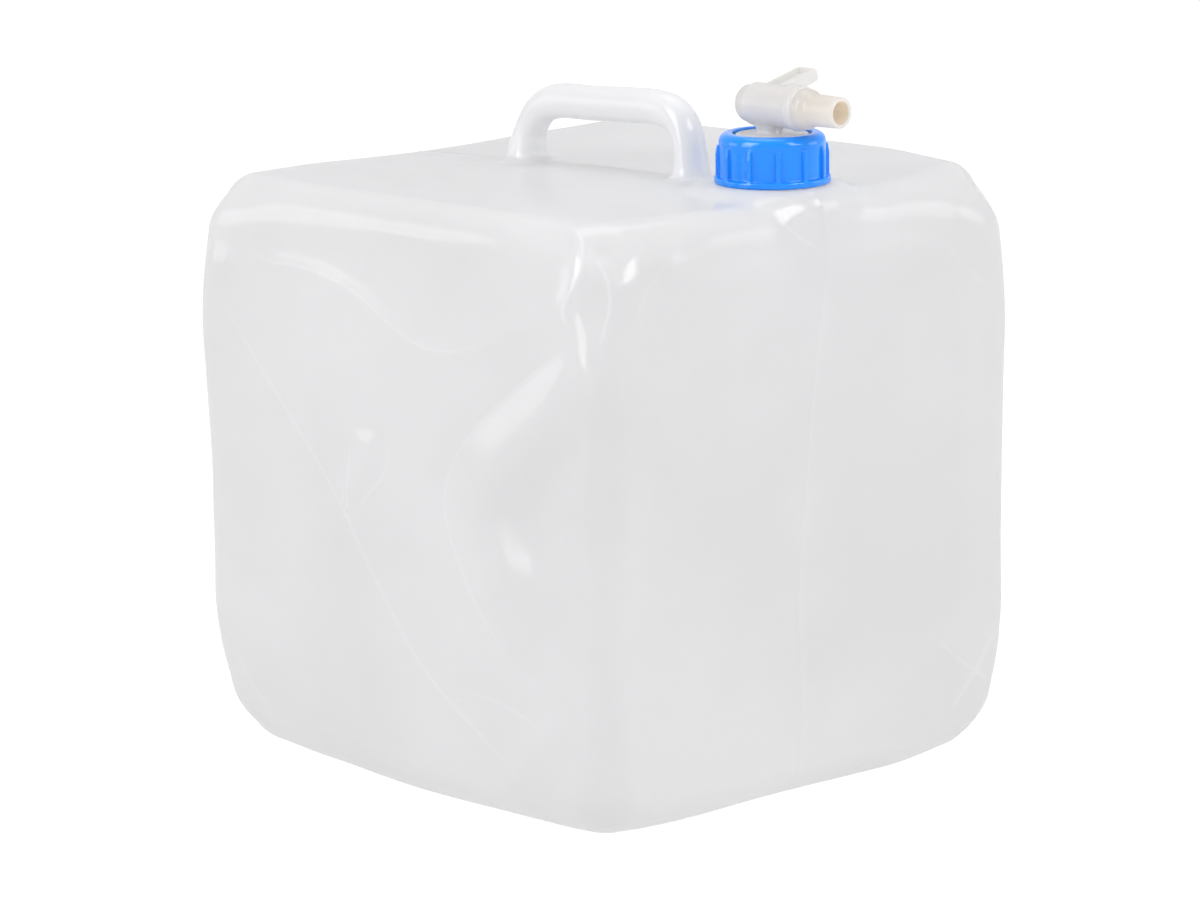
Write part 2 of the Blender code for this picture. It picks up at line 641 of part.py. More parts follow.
def make_tap_plug(carrier):
    """The turning plug, with its spout and its lever."""
    plug = add_object("tap_plug", turned_along_x(plug_profile(), SMALL_ROUND_STEPS), carrier)
    plug.data.materials.append(plastic("plug_ivory", (0.80, 0.78, 0.71), 0.4))
    past_barrel = BARREL_RADIUS + LEVER_CLEAR_OF_BARREL
    root = extruded(lever_outline(HUB_RADIUS / 2), 0, HUB_BACK_X, HUB_FRONT_X)
    blade = extruded(lever_outline(past_barrel), 0, HUB_BACK_X + SINK, HUB_BACK_X + LEVER_WIDTH)
    half = LEVER_DEPTH / 2
    pocket = box(
        (HUB_BACK_X + LEVER_WALL, LEVER_POCKET_START, half - LEVER_POCKET_DEPTH),
        (HUB_BACK_X + LEVER_WIDTH - LEVER_WALL, LEVER_REACH - LEVER_TIP_CHAMFER - LEVER_WALL, LEVER_DEPTH),
    )
    rise = Matrix.Rotation(LEVER_RISE, 3, "X")
    for bm in (root, blade, pocket):
        bmesh.ops.rotate(bm, verts=bm.verts, matrix=rise)
    port = column(PLUG_PORT_RADIUS, 0.0, 2 * PLUG_RADIUS, SMALL_ROUND_STEPS // 2)
    bmesh.ops.rotate(port, verts=port.verts, matrix=Matrix.Rotation(math.radians(90), 3, "X"))
    join(plug, add_object("plug_lever_root", root, carrier), "UNION", NESTED_SOLVER)
    join(plug, add_object("plug_lever_blade", blade, carrier), "UNION", NESTED_SOLVER)
    join(plug, add_object("plug_pocket", pocket, carrier), "DIFFERENCE", NESTED_SOLVER)
    join(plug, add_object("plug_port", port, carrier), "DIFFERENCE", NESTED_SOLVER)


def main():
    clear_scene()
    top_frame = add_empty("top_frame", Vector((0.0, 0.0, TOP_Z)))
    neck_axis = add_empty("neck_axis", Vector((NECK_X, 0.0, 0.0)), top_frame)
    neck_axis.rotation_euler.x = NECK_TILT
    make_container_walls()
    make_container_top(top_frame, neck_axis)
    make_cap_seal(neck_axis)
    make_cap_ring(neck_axis)
    make_tap_body(neck_axis)
    barrel_axis = add_empty("barrel_axis", Vector((0.0, 0.0, BARREL_Z)), neck_axis)
    make_tap_plug(barrel_axis)


main()
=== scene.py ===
import json
import math
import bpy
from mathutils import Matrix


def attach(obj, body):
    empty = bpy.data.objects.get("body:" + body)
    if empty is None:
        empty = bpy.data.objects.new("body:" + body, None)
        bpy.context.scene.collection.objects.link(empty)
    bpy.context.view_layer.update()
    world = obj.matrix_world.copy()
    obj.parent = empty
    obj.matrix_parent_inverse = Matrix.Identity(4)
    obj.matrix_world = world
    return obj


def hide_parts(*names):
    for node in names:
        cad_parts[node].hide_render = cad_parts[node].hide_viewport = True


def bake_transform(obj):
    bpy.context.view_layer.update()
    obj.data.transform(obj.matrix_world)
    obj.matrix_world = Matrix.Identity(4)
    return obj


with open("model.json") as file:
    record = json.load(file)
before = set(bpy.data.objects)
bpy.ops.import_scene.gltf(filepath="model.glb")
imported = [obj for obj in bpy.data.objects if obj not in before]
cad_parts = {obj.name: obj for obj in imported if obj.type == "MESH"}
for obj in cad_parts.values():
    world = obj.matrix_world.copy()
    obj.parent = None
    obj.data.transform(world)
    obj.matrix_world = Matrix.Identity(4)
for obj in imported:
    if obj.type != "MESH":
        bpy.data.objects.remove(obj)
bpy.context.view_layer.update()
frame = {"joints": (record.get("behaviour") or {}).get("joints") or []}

from types import SimpleNamespace as Sizes

import bmesh
import bpy
import numpy as np
from mathutils import Vector

# A collapsible water container: a soft cube of milky film with a carrying loop and a threaded neck
# moulded on it, and a blue ring cap that holds a natural tap. Metres, +Z up, in the frame of the
# solids.

JOINTS = {joint["name"]: joint for joint in frame["joints"]}

# The tables of corners, drifts, loop stations, seam, folds and creases are in millimetres, and
# everything else is in metres
MM = 0.001

# Places taken from the frame
NECK_FOOT = np.array(JOINTS["cap_turn"]["pos_m"])
NECK_UP = Vector(JOINTS["cap_turn"]["axis"])
BARREL_CENTRE = Vector(JOINTS["lever_turn"]["pos_m"])
NECK_TURN = np.array(Vector((0, 0, 1)).rotation_difference(NECK_UP).to_matrix())
TOP = NECK_FOOT[2]
NECK_X = NECK_FOOT[0]

# The soft cube, as in the solids
HALF = 0.145
HALF_HEIGHT = TOP / 2
FILM = 0.0010
EDGE_RADIUS = 0.014
CORNER_REACH = 0.085
SIDE_BULGE = 0.003
TOP_DOME = 0.002
BULGE_EDGE_POWER = 8
FLAT = HALF - EDGE_RADIUS

# Each corner's radius and how far it is drawn in, by the signs of its X, Y and Z
CORNERS = {
    (-1, -1, 1): (30, 0.5),
    (1, -1, 1): (30, 2.5),
    (1, 1, 1): (33, 0),
    (-1, 1, 1): (30, 1),
    (-1, -1, -1): (36, 4.5),
    (1, -1, -1): (27, 1),
    (1, 1, -1): (34, 0),
    (-1, 1, -1): (32, 3),
}

# How far the top rises towards its two back corners, by the sign of their X
TOP_LIFTS = {-1: 0.0072, 1: 0.0068}
TOP_LIFT_POWER = 5

# The bottom's edges are rounder, most at the left corner and least at the right one. The share is
# how much of it there is half way between the two
BOTTOM_ROUNDER = 0.014
BOTTOM_ROUNDER_HEIGHT = 0.055
BOTTOM_ROUNDER_SHARE = 0.6

# Places where the film stands in or out: the place, how far it moves there, and its reach
DRIFTS = (
    ((-145, -145, 105), (3.7, 3.7, 0), 85),
    ((-145, -145, 250), (-1, -1, 0), 40),
    ((-145, -145, 0), (-0.5, -0.5, 1), 50),
    ((-70, -145, 0), (0, 1, 3), 50),
    ((-145, 0, 292), (0, 0, -3), 110),
    ((80, -145, 0), (0, 1, 1.5), 50),
    ((136, -136, 0), (0, 0, 2.2), 22),
    ((-145, -145, 22), (1.4, 1.4, 0), 20),
    ((145, -20, 0), (-0.5, 0, 1.2), 60),
    ((145, 145, 262), (1.8, 1.8, 0), 40),
    ((145, 145, 45), (1.4, 1.4, 0), 40),
)

# Neck and shoulder, heights along the neck's axis from its foot
NECK_RADIUS = 0.0218
NECK_BORE = 0.0188
NECK_RIM = 0.0228
NECK_RIM_ROUND = 0.0004
NECK_ROWS = 34
BORE_ROWS = 6
SHOULDER_RADIUS = 0.0360
SHOULDER_TOP = 0.0054
SHOULDER_ROUND = 0.0095
SHOULDER_DROP = 0.0300
SHOULDER_TAPER = 0.0075
SHOULDER_MELT = (0.005, 0.012)
SHOULDER_ROUNDS = 10

# The neck's thread. Its ends grow to full depth over a part of a turn
THREAD_PITCH = 0.005
THREAD_DEPTH = 0.0016
THREAD_HALF_WIDTH = 0.0013
THREAD_TURNS = 1.5
THREAD_START = 0.0126
THREAD_END_SHARE = 0.2
THREAD_END_GROWTH = 14

# Carrying loop from the left foot to the right: X, height above the top, half width, half depth
LOOP_STATIONS = MM * np.array((
    (-53.3, 7.2, 9.6, 9.8),
    (-50.8, 16.5, 7.4, 8.9),
    (-43, 27.1, 7.9, 8.7),
    (-30, 32.2, 8.6, 8.6),
    (-7, 33, 8.6, 8.6),
    (17, 34.2, 8.6, 8.6),
    (39, 34.6, 8.6, 8.6),
    (51.2, 31.1, 8.3, 8.6),
    (58.3, 22, 7.2, 8.8),
    (60.6, 8.5, 7.6, 9.5),
))
LOOP_STEPS = 48
LOOP_FILM = 0.0016
LOOP_FILM_RISE = 0.008

# How much whiter the film of the carrying loop is painted: a little all over, for its thicker film and
# partly as painted light, and more on its inner side and on its legs, as painted light where the
# loop's own shade falls
LOOP_WHITER = 0.08
LOOP_INSIDE_PAINTED_LIGHT = 0.95
LOOP_LEG_PAINTED_LIGHT = 0.7
LOOP_LEG_HEIGHT = 0.030
LOOP_FOOT = 0.0022
LOOP_MIDDLE = np.array((0.004, 0.0, TOP + 0.004))
LOOP_REACH = 0.03
LOOP_END = NECK_X - 1.3 * NECK_RADIUS

# The mould's seam, raised along the middle of the cube. On the +X side it wanders: Y and height
SEAM_HEIGHT = 0.00022
SEAM_HALF_WIDTH = 0.0006
SEAM_WANDER = (
    (-11, 6),
    (-10, 51),
    (-16, 101),
    (-11, 159),
    (-2, 230),
    (4, 256),
    (0, 275),
    (-6, 292),
)

# Grid of the cube. Each hole's block of cells has its middle, half sizes and counts of cells, the
# grid lines that its patch takes up round it, and how its rings grow
EDGE_CELLS = 6
LEFT_HOLE = Sizes(
    middle=-0.0533, half=(0.0112, 0.0090), cells=(10, 6), rings=10, fillet=0.0060, share=0.4
)
RIGHT_HOLE = Sizes(
    middle=0.0602, half=(0.0086, 0.0090), cells=(10, 6), rings=6, fillet=0.0055, share=0.5
)
NECK_HOLE = Sizes(middle=NECK_X, half=(FLAT - NECK_X, 0.0190), cells=(12, 14), rings=6)
FILLET_POWER = 1.5
CELLS_BEFORE_LEFT = 24
CELLS_BETWEEN_FEET = 26
CELLS_BEFORE_NECK = 12
CELLS_BESIDE_NECK = 36
CELLS_UP = 104

# The sides of the container: the axis across each, the axis it faces, and which way. A point is on
# one from this far out. The front is the corner between the left and the right side, and a point is
# on it from this X less its Y
SIDES = {"left": (0, 1, -1), "right": (1, 0, 1), "far_left": (1, 0, -1), "far_right": (0, 1, 1)}
SIDE_FROM = 0.12
FRONT_FROM = 0.22

# Lines over a side that a fold and a crease share, across and up. At the front corner a third value
# says how far the line lies out from the middle, along both axes
LONG_FOLD = ((-121, 231), (-41, 155), (-26, 135), (6, 93), (29, 67), (78, 36), (101, 21))
DENT_EDGE = (
    (128, 238), (110, 228), (80, 206), (54, 183), (41, 160),
    (44, 138), (58, 114), (78, 90), (98, 70),
)
WAVE = (
    (-100, 268), (-96, 259), (-87, 253), (-67, 254), (-45, 252),
    (-19, 246), (14, 228), (39, 223), (73, 232),
)
CORNER_FOLD = (
    (-15.6, 290, 119), (-9.9, 286, 126), (-9.2, 279, 130.5), (-11.3, 269, 135), (-17, 259, 134),
    (-19.1, 252, 132.5), (-16.3, 245, 133.5),
)
CORNER_RIDGE = (
    (-3.5, 277, 131.5), (2.1, 268, 135.5), (3.5, 257, 137.5), (0, 244, 138), (-2.1, 237, 139.5),
)
FAR_LEFT_FOLD = ((96, 236), (40, 176), (6, 128), (-52, 66), (-88, 48))
FAR_LEFT_RIDGE = ((-98, 240), (-64, 212), (-46, 168), (-60, 130))
FAR_RIGHT_FOLD = ((-98, 52), (-46, 104), (12, 176), (58, 206), (94, 214))
FAR_RIGHT_RIDGE = ((-90, 226), (-52, 232), (-24, 214), (-30, 180))

# Folds and dents of the film: the side that each is on, its shape, how far it stands out, how wide
# it is, and its line
FOLDS = (
    ("left", "sharp", 1.6, 13, LONG_FOLD),
    ("left", "round", 2, 10, ((-10, 180), (-12, 162), (-20, 142))),
    ("left", "ledge", 4.4, 26, ((140, 250),) + DENT_EDGE),
    ("left", "round", 1.6, 8, ((62, 126), (74, 106), (90, 86), (108, 64))),
    ("left", "round", -2.2, 14, ((140, 225), (112, 180), (94, 130), (100, 70))),
    ("front", "round", 1.6, 4.5, CORNER_FOLD),
    ("front", "round", 1.3, 4.5, CORNER_RIDGE),
    ("left", "round", 0.4, 5.5, (
        (-102, 270), (-58, 272), (-7, 276), (39, 275), (66, 278), (95, 284), (124, 293),
    )),
    ("left", "round", 0.5, 5, WAVE + ((102, 247), (119, 259))),
    ("left", "round", 1.8, 6, ((-128, 252), (-120, 247), (-113, 252))),
    ("left", "round", 1.2, 10, ((-50, 240), (-36, 236))),
    ("left", "round", 2, 10, ((123, 60), (108, 48), (90, 30), (89, 18))),
    ("left", "round", -1.6, 12, ((134, 150), (134, 90), (128, 30))),
    ("left", "round", 1.4, 10, ((-140, 140), (-128, 90), (-120, 45), (-96, 22))),
    ("right", "round", -0.5, 12, ((-122, 262), (-106, 277))),
    ("right", "round", 0.6, 6, ((-141, 269), (-123, 255), (-103, 270), (-100, 283))),
    ("right", "round", 0.6, 12, ((-110, 256), (0, 258), (124, 256))),
    ("right", "sharp", 1, 6, ((-28, 283), (-9, 270))),
    ("right", "round", 1.5, 10, ((104, 235), (106, 150), (107, 80))),
    ("right", "sharp", 2.2, 9, ((86, 70), (104, 50), (132, 34))),
    ("right", "sharp", 1.8, 8, ((98, 22), (112, 40), (134, 66))),
    ("right", "round", 1.6, 6, ((-130, 22), (-122, 30))),
    ("right", "round", 1.4, 7, ((98, 281), (118, 266))),
    ("right", "round", 1.2, 12, ((-136, 240), (-128, 200), (-134, 140), (-136, 80))),
    ("far_left", "sharp", 1.8, 13, FAR_LEFT_FOLD),
    ("far_left", "round", 2, 10, FAR_LEFT_RIDGE),
    ("far_left", "round", -2, 14, ((92, 60), (64, 96), (70, 146))),
    ("far_right", "sharp", 1.8, 13, FAR_RIGHT_FOLD),
    ("far_right", "round", 2, 10, FAR_RIGHT_RIDGE),
    ("far_right", "round", -2, 14, ((96, 48), (52, 74), (62, 126))),
)

# Folds rise from a share of their height at their ends, over this share of their length
FOLD_ENDS = 0.22
FOLD_END_HEIGHT = 0.25

# A ledge is raised on the side of its line that faces the front corner, out to its end. It starts
# with a part of its width and has all of it after a part of its length
LEDGE_LEAN = 0.4
LEDGE_START = 0.3
LEDGE_TAPER = 0.45
LEDGE_END = 0.050
LEDGE_ROUND = 0.25
LEDGE_ROUND_POWER = 5

# Fine lines of painted highlight along sharp creases, which also get a small bump: the side, how
# strong, and the line
CREASE_LINES = (
    ("left", 0.6, ((-128, 240), LONG_FOLD[0], (-80, 192)) + LONG_FOLD[1:]),
    ("front", 1.0, CORNER_FOLD),
    ("front", 0.8, CORNER_RIDGE),
    ("left", 0.5, WAVE),
    ("left", 0.55, DENT_EDGE),
    ("left", 0.4, ((52, 64), (80, 62), (110, 52))),
    ("left", 0.8, ((-23, 174), (-25, 157), (-26, 143), (-24, 133), (-15, 120))),
    ("left", 0.5, ((0, 176), (4, 168), (0, 159), (-11, 148), (-17, 141))),
    ("left", 0.4, ((-120, 62), (-108, 40), (-86, 26))),
    ("right", 0.6, ((84, 66), (104, 50), (128, 36))),
    ("right", 0.6, ((96, 24), (110, 40), (130, 62))),
    ("right", 0.4, ((90, 262), (104, 248), (124, 236))),
    ("right", 0.6, ((-28, 285), (-18, 276), (-6, 270))),
    ("right", 0.25, ((-118, 238), (-124, 256), (-104, 272))),
    ("right", 0.45, SEAM_WANDER),
    ("far_left", 0.6, FAR_LEFT_FOLD),
    ("far_left", 0.5, FAR_LEFT_RIDGE),
    ("far_right", 0.6, FAR_RIGHT_FOLD),
    ("far_right", 0.5, FAR_RIGHT_RIDGE),
)

# Where there is no crease, the nearest one counts as this far away. A crease runs on a little past
# its line, and fades to a share of its strength at its ends
NO_CREASE = 1.0
CREASE_OVERRUN = 0.002
CREASE_END_SHARE = 0.1
CREASE_END_GROWTH = 6

# Ring cap, heights along the neck's axis from its foot. Its skirt ends a little higher than in the
# solids, its shoulder is rounder and its ribs are turned a little
CAP_FOOT = 0.0057
CAP_TOP = 0.0297
CAP_RADIUS = 0.0256
CAP_INSIDE = 0.0239
CAP_HOLE = 0.0189
CAP_ROOF = 0.0277
CAP_TOP_ROUND = 0.0042
CAP_BEAD = Sizes(radius=0.0279, height=0.0032, edge=0.0009, fillet=0.0008)
CAP_RIBS = 12
CAP_RIB = Sizes(half_width=0.0011, proud=0.0016, top=0.0240, edge=0.0006, fillet=0.0002, slope=0.15)
CAP_RIB_PHASE = math.radians(18.6)
CAP_THREAD_START = 0.0101
CAP_THREAD_TURNS = 1.25

# Washer, from the inside out and from the bottom up
SEAL_INSIDE = 0.0182
SEAL_OUTSIDE = 0.0234
SEAL_LOW = 0.0231
SEAL_HIGH = 0.0249

# Tap: disc and riser, heights as for the cap, and barrel, from its back to its front. The riser is
# narrower than in the solids and stands further back
DISC_RADIUS = 0.0234
DISC_LOW = 0.0252
DISC_HIGH = 0.0274
DISC_FACE = 0.0289
PLATEAU_RADIUS = 0.0175
BARREL_UP = 0.0423
BARREL_RADIUS = 0.0102
BARREL_BORE = 0.0086
BARREL_BACK = -0.0112
BARREL_FRONT = 0.0203
BARREL_EDGE = 0.0009
BARREL_COLLAR = Sizes(start=0.0158, radius=0.0106, edge=0.0014, fillet=0.0016)
RISER = Sizes(start=-0.0036, end=-0.0008, radius=0.0047, bore=0.0030)
RISER_RIB = Sizes(reach=0.0052, half_width=0.0012)
STOP_LUG = Sizes(start=0.0118, end=0.0150, half_width=0.0024, proud=0.0006)

# Turning plug, along the barrel's axis from the neck's axis, and its lever, out from the plug. The
# hub and the spout's collar are longer than in the solids, and the lever is wider
HUB = Sizes(back=-0.0189, front=-0.0115, radius=0.0091, edge=0.0058)
PLUG_RADIUS = 0.0083
SPOUT_COLLAR = Sizes(start=0.0205, end=0.0244, radius=0.0097, edge=0.0005)
SPOUT_CONE_END = 0.0274
SPOUT_ROOT_RADIUS = 0.0077
SPOUT_TIP = 0.0442
SPOUT_TIP_RADIUS = 0.0074
SPOUT_EASE = 0.0006
SPOUT_BORE = 0.0055
SPOUT_BORE_END = -0.0092
SPOUT_LIP = 0.0005
PORT_RADIUS = 0.0036
LEVER = Sizes(rise=math.radians(13.6), start=0.0114, reach=0.0432, half_depth=0.0035)
LEVER_ROOT = Sizes(start=0.0060, end=0.0486)
LEVER_BLADE = Sizes(low=-0.0187, high=-0.0083, edge=0.0010)
LEVER_POCKET = Sizes(start=0.0130, end=0.0398, wall=0.0014, depth=0.0026)
LEVER_TIP = Sizes(low=0.0004, cut=0.0011)

# The small rounding where nothing else is said
SMALL = 0.0005

# The closure's surfaces are found on a grid, in blocks of cells that are looked at first. A block
# is near the surface within this many of its widths. Points settle onto the surface in rounds
CELL = 0.00037
BLOCK = 4
NEAR_BLOCKS = 1.3
SETTLE_ROUNDS = 3
SETTLE_STEP = CELL / 4
SETTLE_MOST = 0.5 * CELL
SETTLE_FLATTEST = 0.05

# Room round the pieces in their grids, and the plug's grid across the barrel, low and high
MARGIN = 0.001
BARREL_ROOM = 0.013
PLUG_ROOM = ((-0.011, -0.011), (0.044, 0.017))

# How fast a surface turns from upward to downward facing, and the part of the tap that the barrel
# hides from the light, in radii below the barrel's axis, with how soft its edge is. Places facing down
# and that hidden part are painted lighter, as painted light
FACING_SLOPE = 0.6
HIDDEN_BELOW = 0.7
HIDDEN_SOFT = 0.2

# Edges sharper than this stay sharp
SHARP_ANGLE = math.radians(48)

# Camera: the photograph's angle and distance
CAMERA_AZIMUTH = math.radians(45)
CAMERA_ELEVATION = math.radians(11.2)
CAMERA_DISTANCE = 2.25
CAMERA_LENS = 135
CAMERA_SENSOR = 36
CAMERA_REACH = 50
CAMERA_TARGET = Vector((-0.00106, -0.00106, 0.1514))

# Surroundings: what lights the object, and what the camera sees behind it
WORLD_COLOUR = (0.99, 0.99, 1.0, 1)
WORLD_STRENGTH = 0.76
WHITE = (1, 1, 1, 1)
SEEN_STRENGTH = 1.05
FLOOR_COLOUR = (0.93, 0.93, 0.93, 1)
FLOOR_ROUGHNESS = 0.9
FLOOR_GLOW = 1.07
FLOOR_GLOW_SHARE = 0.94
FLOOR_REACH = 30
FLOOR_HEIGHT = -0.0004

# Soft boxes: name, place, width, height, and the brightness of its face
SOFT_BOXES = (
    ("key_left", (-0.15, -1.85, 1.45), 1.00, 1.30, 3.4),
    ("key_right", (1.95, 0.20, 1.45), 1.00, 1.30, 3.4),
    ("side_left", (-1.72, -1.50, 0.64), 1.00, 1.00, 2.1),
    ("side_right", (1.50, 1.72, 0.64), 1.00, 1.00, 2.0),
    ("backdrop", (-1.90, 1.90, 0.78), 2.60, 1.50, 0.10),
    ("overhead", (-0.30, 0.30, 2.40), 1.60, 1.60, 1.9),
)

# Panels that are seen in reflections alone, given in the same way
GLINTS = (
    ("glint_left", (-0.28, -1.60, 0.95), 0.80, 1.90, 3.6),
    ("glint_right", (1.75, 0.18, 1.25), 0.80, 1.20, 3.0),
)

# Film: its shades and how cloudy it is between them, its gloss, and the heights of its unevenness.
# A noise is its scale, its detail, and the part of its range that is used
FILM_SHADES = ((0.74, 0.74, 0.74), (0.96, 0.96, 0.965))
FILM_CLOUDS = (9, 5, 0.3, 0.7)
FILM_CLOUDINESS = (0.1, 0.35)
FILM_PATCHES = (40, 4, 0.3, 0.7)
FILM_PATCH_STRETCH = (1, 1, 0.4)
FILM_GLOSS = (0.07, 0.14)
FILM_IOR = 1.5
FILM_SPECULAR = 0.75
FILM_WAVES = (45, 2)
FILM_WAVE_HEIGHT = 0.00008
FILM_GRAIN = (900, 3)
FILM_GRAIN_HEIGHT = 0.00001
FILM_THROUGH = ((0.97, 0.97, 0.975), 0.55)
# Painted highlight along the sharp creases: its half width and strength, and the height of the
# creases' bump
CREASE_HALF_WIDTH = 0.0013
CREASE_PAINTED_HIGHLIGHT = 0.5
CREASE_HEIGHT = 0.00008

# Moulded plastics. An unevenness is its scale, the range of roughness, and its height. The tap and the
# plug have a shade where light falls on them, and a lighter one painted where they face down and low
# down: painted light that stands in for the light that comes through them
MOULD_DETAIL = 3
MOULD_RANGE = (0.25, 0.75)
CAP_UNEVEN = (900, (0.08, 0.12), 0.000006)
CAP_SHADES = ((0.0020, 0.225, 0.84), (0.0030, 0.260, 0.95))
CAP_SPECULAR = 0.45
SEAL_UNEVEN = (1500, (0.55, 0.70), 0.00005)
SEAL_SHADES = ((0.56, 0.56, 0.54), (0.64, 0.64, 0.62))
TAP_UNEVEN = (220, (0.22, 0.27), 0.000004)
TAP_LIT_AND_PAINTED_LIGHT_SHADES = ((0.755, 0.735, 0.715), (0.96, 0.965, 0.99))
TAP_THROUGH = ((0.97, 0.96, 0.96), 0.55)
PLUG_UNEVEN = (220, (0.28, 0.33), 0.000004)
PLUG_LIT_AND_PAINTED_LIGHT_SHADES = ((0.67, 0.668, 0.665), (0.88, 0.87, 0.86))
# The spout's bore is painted tan: a painted tint of the light that bounces inside the ivory plastic
# there
PLUG_BORE_PAINTED_TINT = (0.90, 0.72, 0.47, 1)
PLUG_THROUGH = ((0.95, 0.93, 0.89), 0.45)
TAP_SPECULAR = 0.9
TAP_CLOUDS = (220, 2, 0.3, 0.7)
TAP_CLOUDINESS = (0.0, 0.12)


def smooth(t):
    t = np.clip(t, 0.0, 1.0)
    return t * t * (3 - 2 * t)


def stops(start, *runs):
    """Grid lines from a start through runs of (end, number of cells), without the last one."""
    line = []
    for end, cells in runs:
        line += [start + (end - start) * i / cells for i in range(cells)]
        start = end
    return line


def side_to_side(inner, rise=0.0):
    """Grid lines along an axis: close together round the two edges, the inner ones between them."""
    turns = np.radians(45) * np.arange(EDGE_CELLS + 1) / EDGE_CELLS
    edge = FLAT + rise + EDGE_RADIUS * np.tan(turns)
    return np.concatenate([-edge[::-1], inner[1:], edge])


def grid_lines():
    """The cube's grid lines along X, Y and Z, with the holes' blocks and the seam among them."""
    left, right, neck = LEFT_HOLE, RIGHT_HOLE, NECK_HOLE
    along_x = stops(
        -FLAT,
        (left.middle - left.half[0], CELLS_BEFORE_LEFT),
        (left.middle + left.half[0], left.cells[0]),
        (right.middle - right.half[0], CELLS_BETWEEN_FEET),
        (right.middle + right.half[0], right.cells[0]),
        (neck.middle - neck.half[0], CELLS_BEFORE_NECK),
        (FLAT, neck.cells[0]),
    )
    foot = left.half[1]
    beside = (neck.cells[1] - left.cells[1]) // 2
    along_y = stops(
        -FLAT,
        (-neck.half[1], CELLS_BESIDE_NECK),
        (-foot, beside),
        (-SEAM_HALF_WIDTH, 2),
        (SEAM_HALF_WIDTH, 2),
        (foot, 2),
        (neck.half[1], beside),
        (FLAT, CELLS_BESIDE_NECK),
    )
    rise = HALF_HEIGHT - HALF
    along_z = stops(-FLAT - rise, (FLAT + rise, CELLS_UP))
    return side_to_side(along_x), side_to_side(along_y), side_to_side(along_z, rise)


def cube_surface(lines):
    """Points of the sharp cube's surface, the four-sided faces of its six sides, and the numbers of
    the points on its top."""
    numbers = np.full([len(line) for line in lines], -1)
    on = np.zeros(numbers.shape, bool)
    for axis in range(3):
        side = [slice(None)] * 3
        for end in (0, -1):
            side[axis] = end
            on[tuple(side)] = True
    numbers[on] = np.arange(on.sum())
    index = np.argwhere(on)
    points = np.stack([lines[axis][index[:, axis]] for axis in range(3)], axis=1)
    sides = []
    for axis in range(3):
        for end in (0, -1):
            grid = np.take(numbers, end, axis=axis)
            if (end == 0) != (axis == 1):
                grid = grid[::-1]
            corners = [grid[:-1, :-1], grid[1:, :-1], grid[1:, 1:], grid[:-1, 1:]]
            sides.append(np.stack(corners, axis=-1))
    return points, sides, numbers[:, :, -1]


def block_of(hole, lines):
    """A hole's block as grid numbers: its first and last line along X and along Y."""
    low = np.argmin(np.abs(lines[0] - hole.middle + hole.half[0]))
    high = np.argmin(np.abs(lines[0] - hole.middle - hole.half[0]))
    near = np.argmin(np.abs(lines[1] + hole.half[1]))
    far = np.argmin(np.abs(lines[1] - hole.half[1]))
    return low, high, near, far


def ring(block, grow, corner):
    """Grid numbers and angles round a block, grow lines out from it, from its first corner on."""
    low, high, near, far = block[0] - grow, block[1] + grow, block[2] - grow, block[3] + grow
    wide, deep = high - low, far - near
    sides = (
        (high, near, 0, 1, deep, corner),
        (high, far, -1, 0, wide, 90 - corner),
        (low, far, 0, -1, deep, corner),
        (low, near, 1, 0, wide, 90 - corner),
    )
    found = []
    for turns, (x, y, step_x, step_y, cells, spread) in enumerate(sides):
        for k in range(cells):
            found.append((x + k * step_x, y + k * step_y, 90 * turns + spread * (2 * k / cells - 1)))
    across, along, angles = zip(*found)
    return np.array(across), np.array(along), np.radians(angles)


def corner_angle(hole):
    """The angle at which a hole's first corner lies, so that its cells are spread evenly."""
    wide, deep = hole.cells
    return 90 * deep / (wide + deep)


def rings_of(hole, lines, top):
    """The rings of grid points round a hole, from the outermost in: each one's share of the way out,
    the numbers of its points and their angles."""
    block = block_of(hole, lines)
    rings = hole.rings * (block[1] - block[0]) // hole.cells[0]
    for grow in range(rings, -1, -1):
        across, along, angles = ring(block, grow, corner_angle(hole))
        yield grow / rings, top[across, along], angles


def open_round(points, top, lines, hole, rim_radius):
    """Move the grid round the neck's hole onto circles. Gives the numbers and angles of the rim."""
    for share, numbers, angles in rings_of(hole, lines, top):
        reach = rim_radius + share * (HALF - hole.middle - rim_radius)
        circle = np.stack([hole.middle + reach * np.cos(angles), reach * np.sin(angles)], axis=1)
        mix = smooth(share)
        points[numbers, :2] = circle * (1 - mix) + points[numbers, :2] * mix
    return numbers, angles


def open_foot(points, top, lines, hole, rim):
    """Move the grid round a foot's hole onto rings that grow from the loop's first or last ring.
    Gives each ring's numbers with the rim's heights there and how much of them the ring takes."""
    first_angle = ring(block_of(hole, lines), 0, corner_angle(hole))[2][0]
    raised = []
    for share, numbers, angles in rings_of(hole, lines, top):
        reach = hole.fillet * (share / hole.share) ** FILLET_POWER
        place = (angles - first_angle) / math.tau * len(rim)
        before = np.floor(place + 1e-6).astype(int)
        nearest, following = rim[before % len(rim)], rim[(before + 1) % len(rim)]
        wall = nearest + (following - nearest) * (place - before)[:, None]
        circle = wall[:, :2] + reach * np.stack([np.cos(angles), np.sin(angles)], axis=1)
        mix = smooth((share - hole.share) / (1 - hole.share))
        points[numbers, :2] = circle * (1 - mix) + points[numbers, :2] * mix
        left = max(1 - reach / hole.fillet, 0.0)
        raised.append((numbers, wall[:, 2], 1 - math.sqrt(1 - left * left)))
    return raised


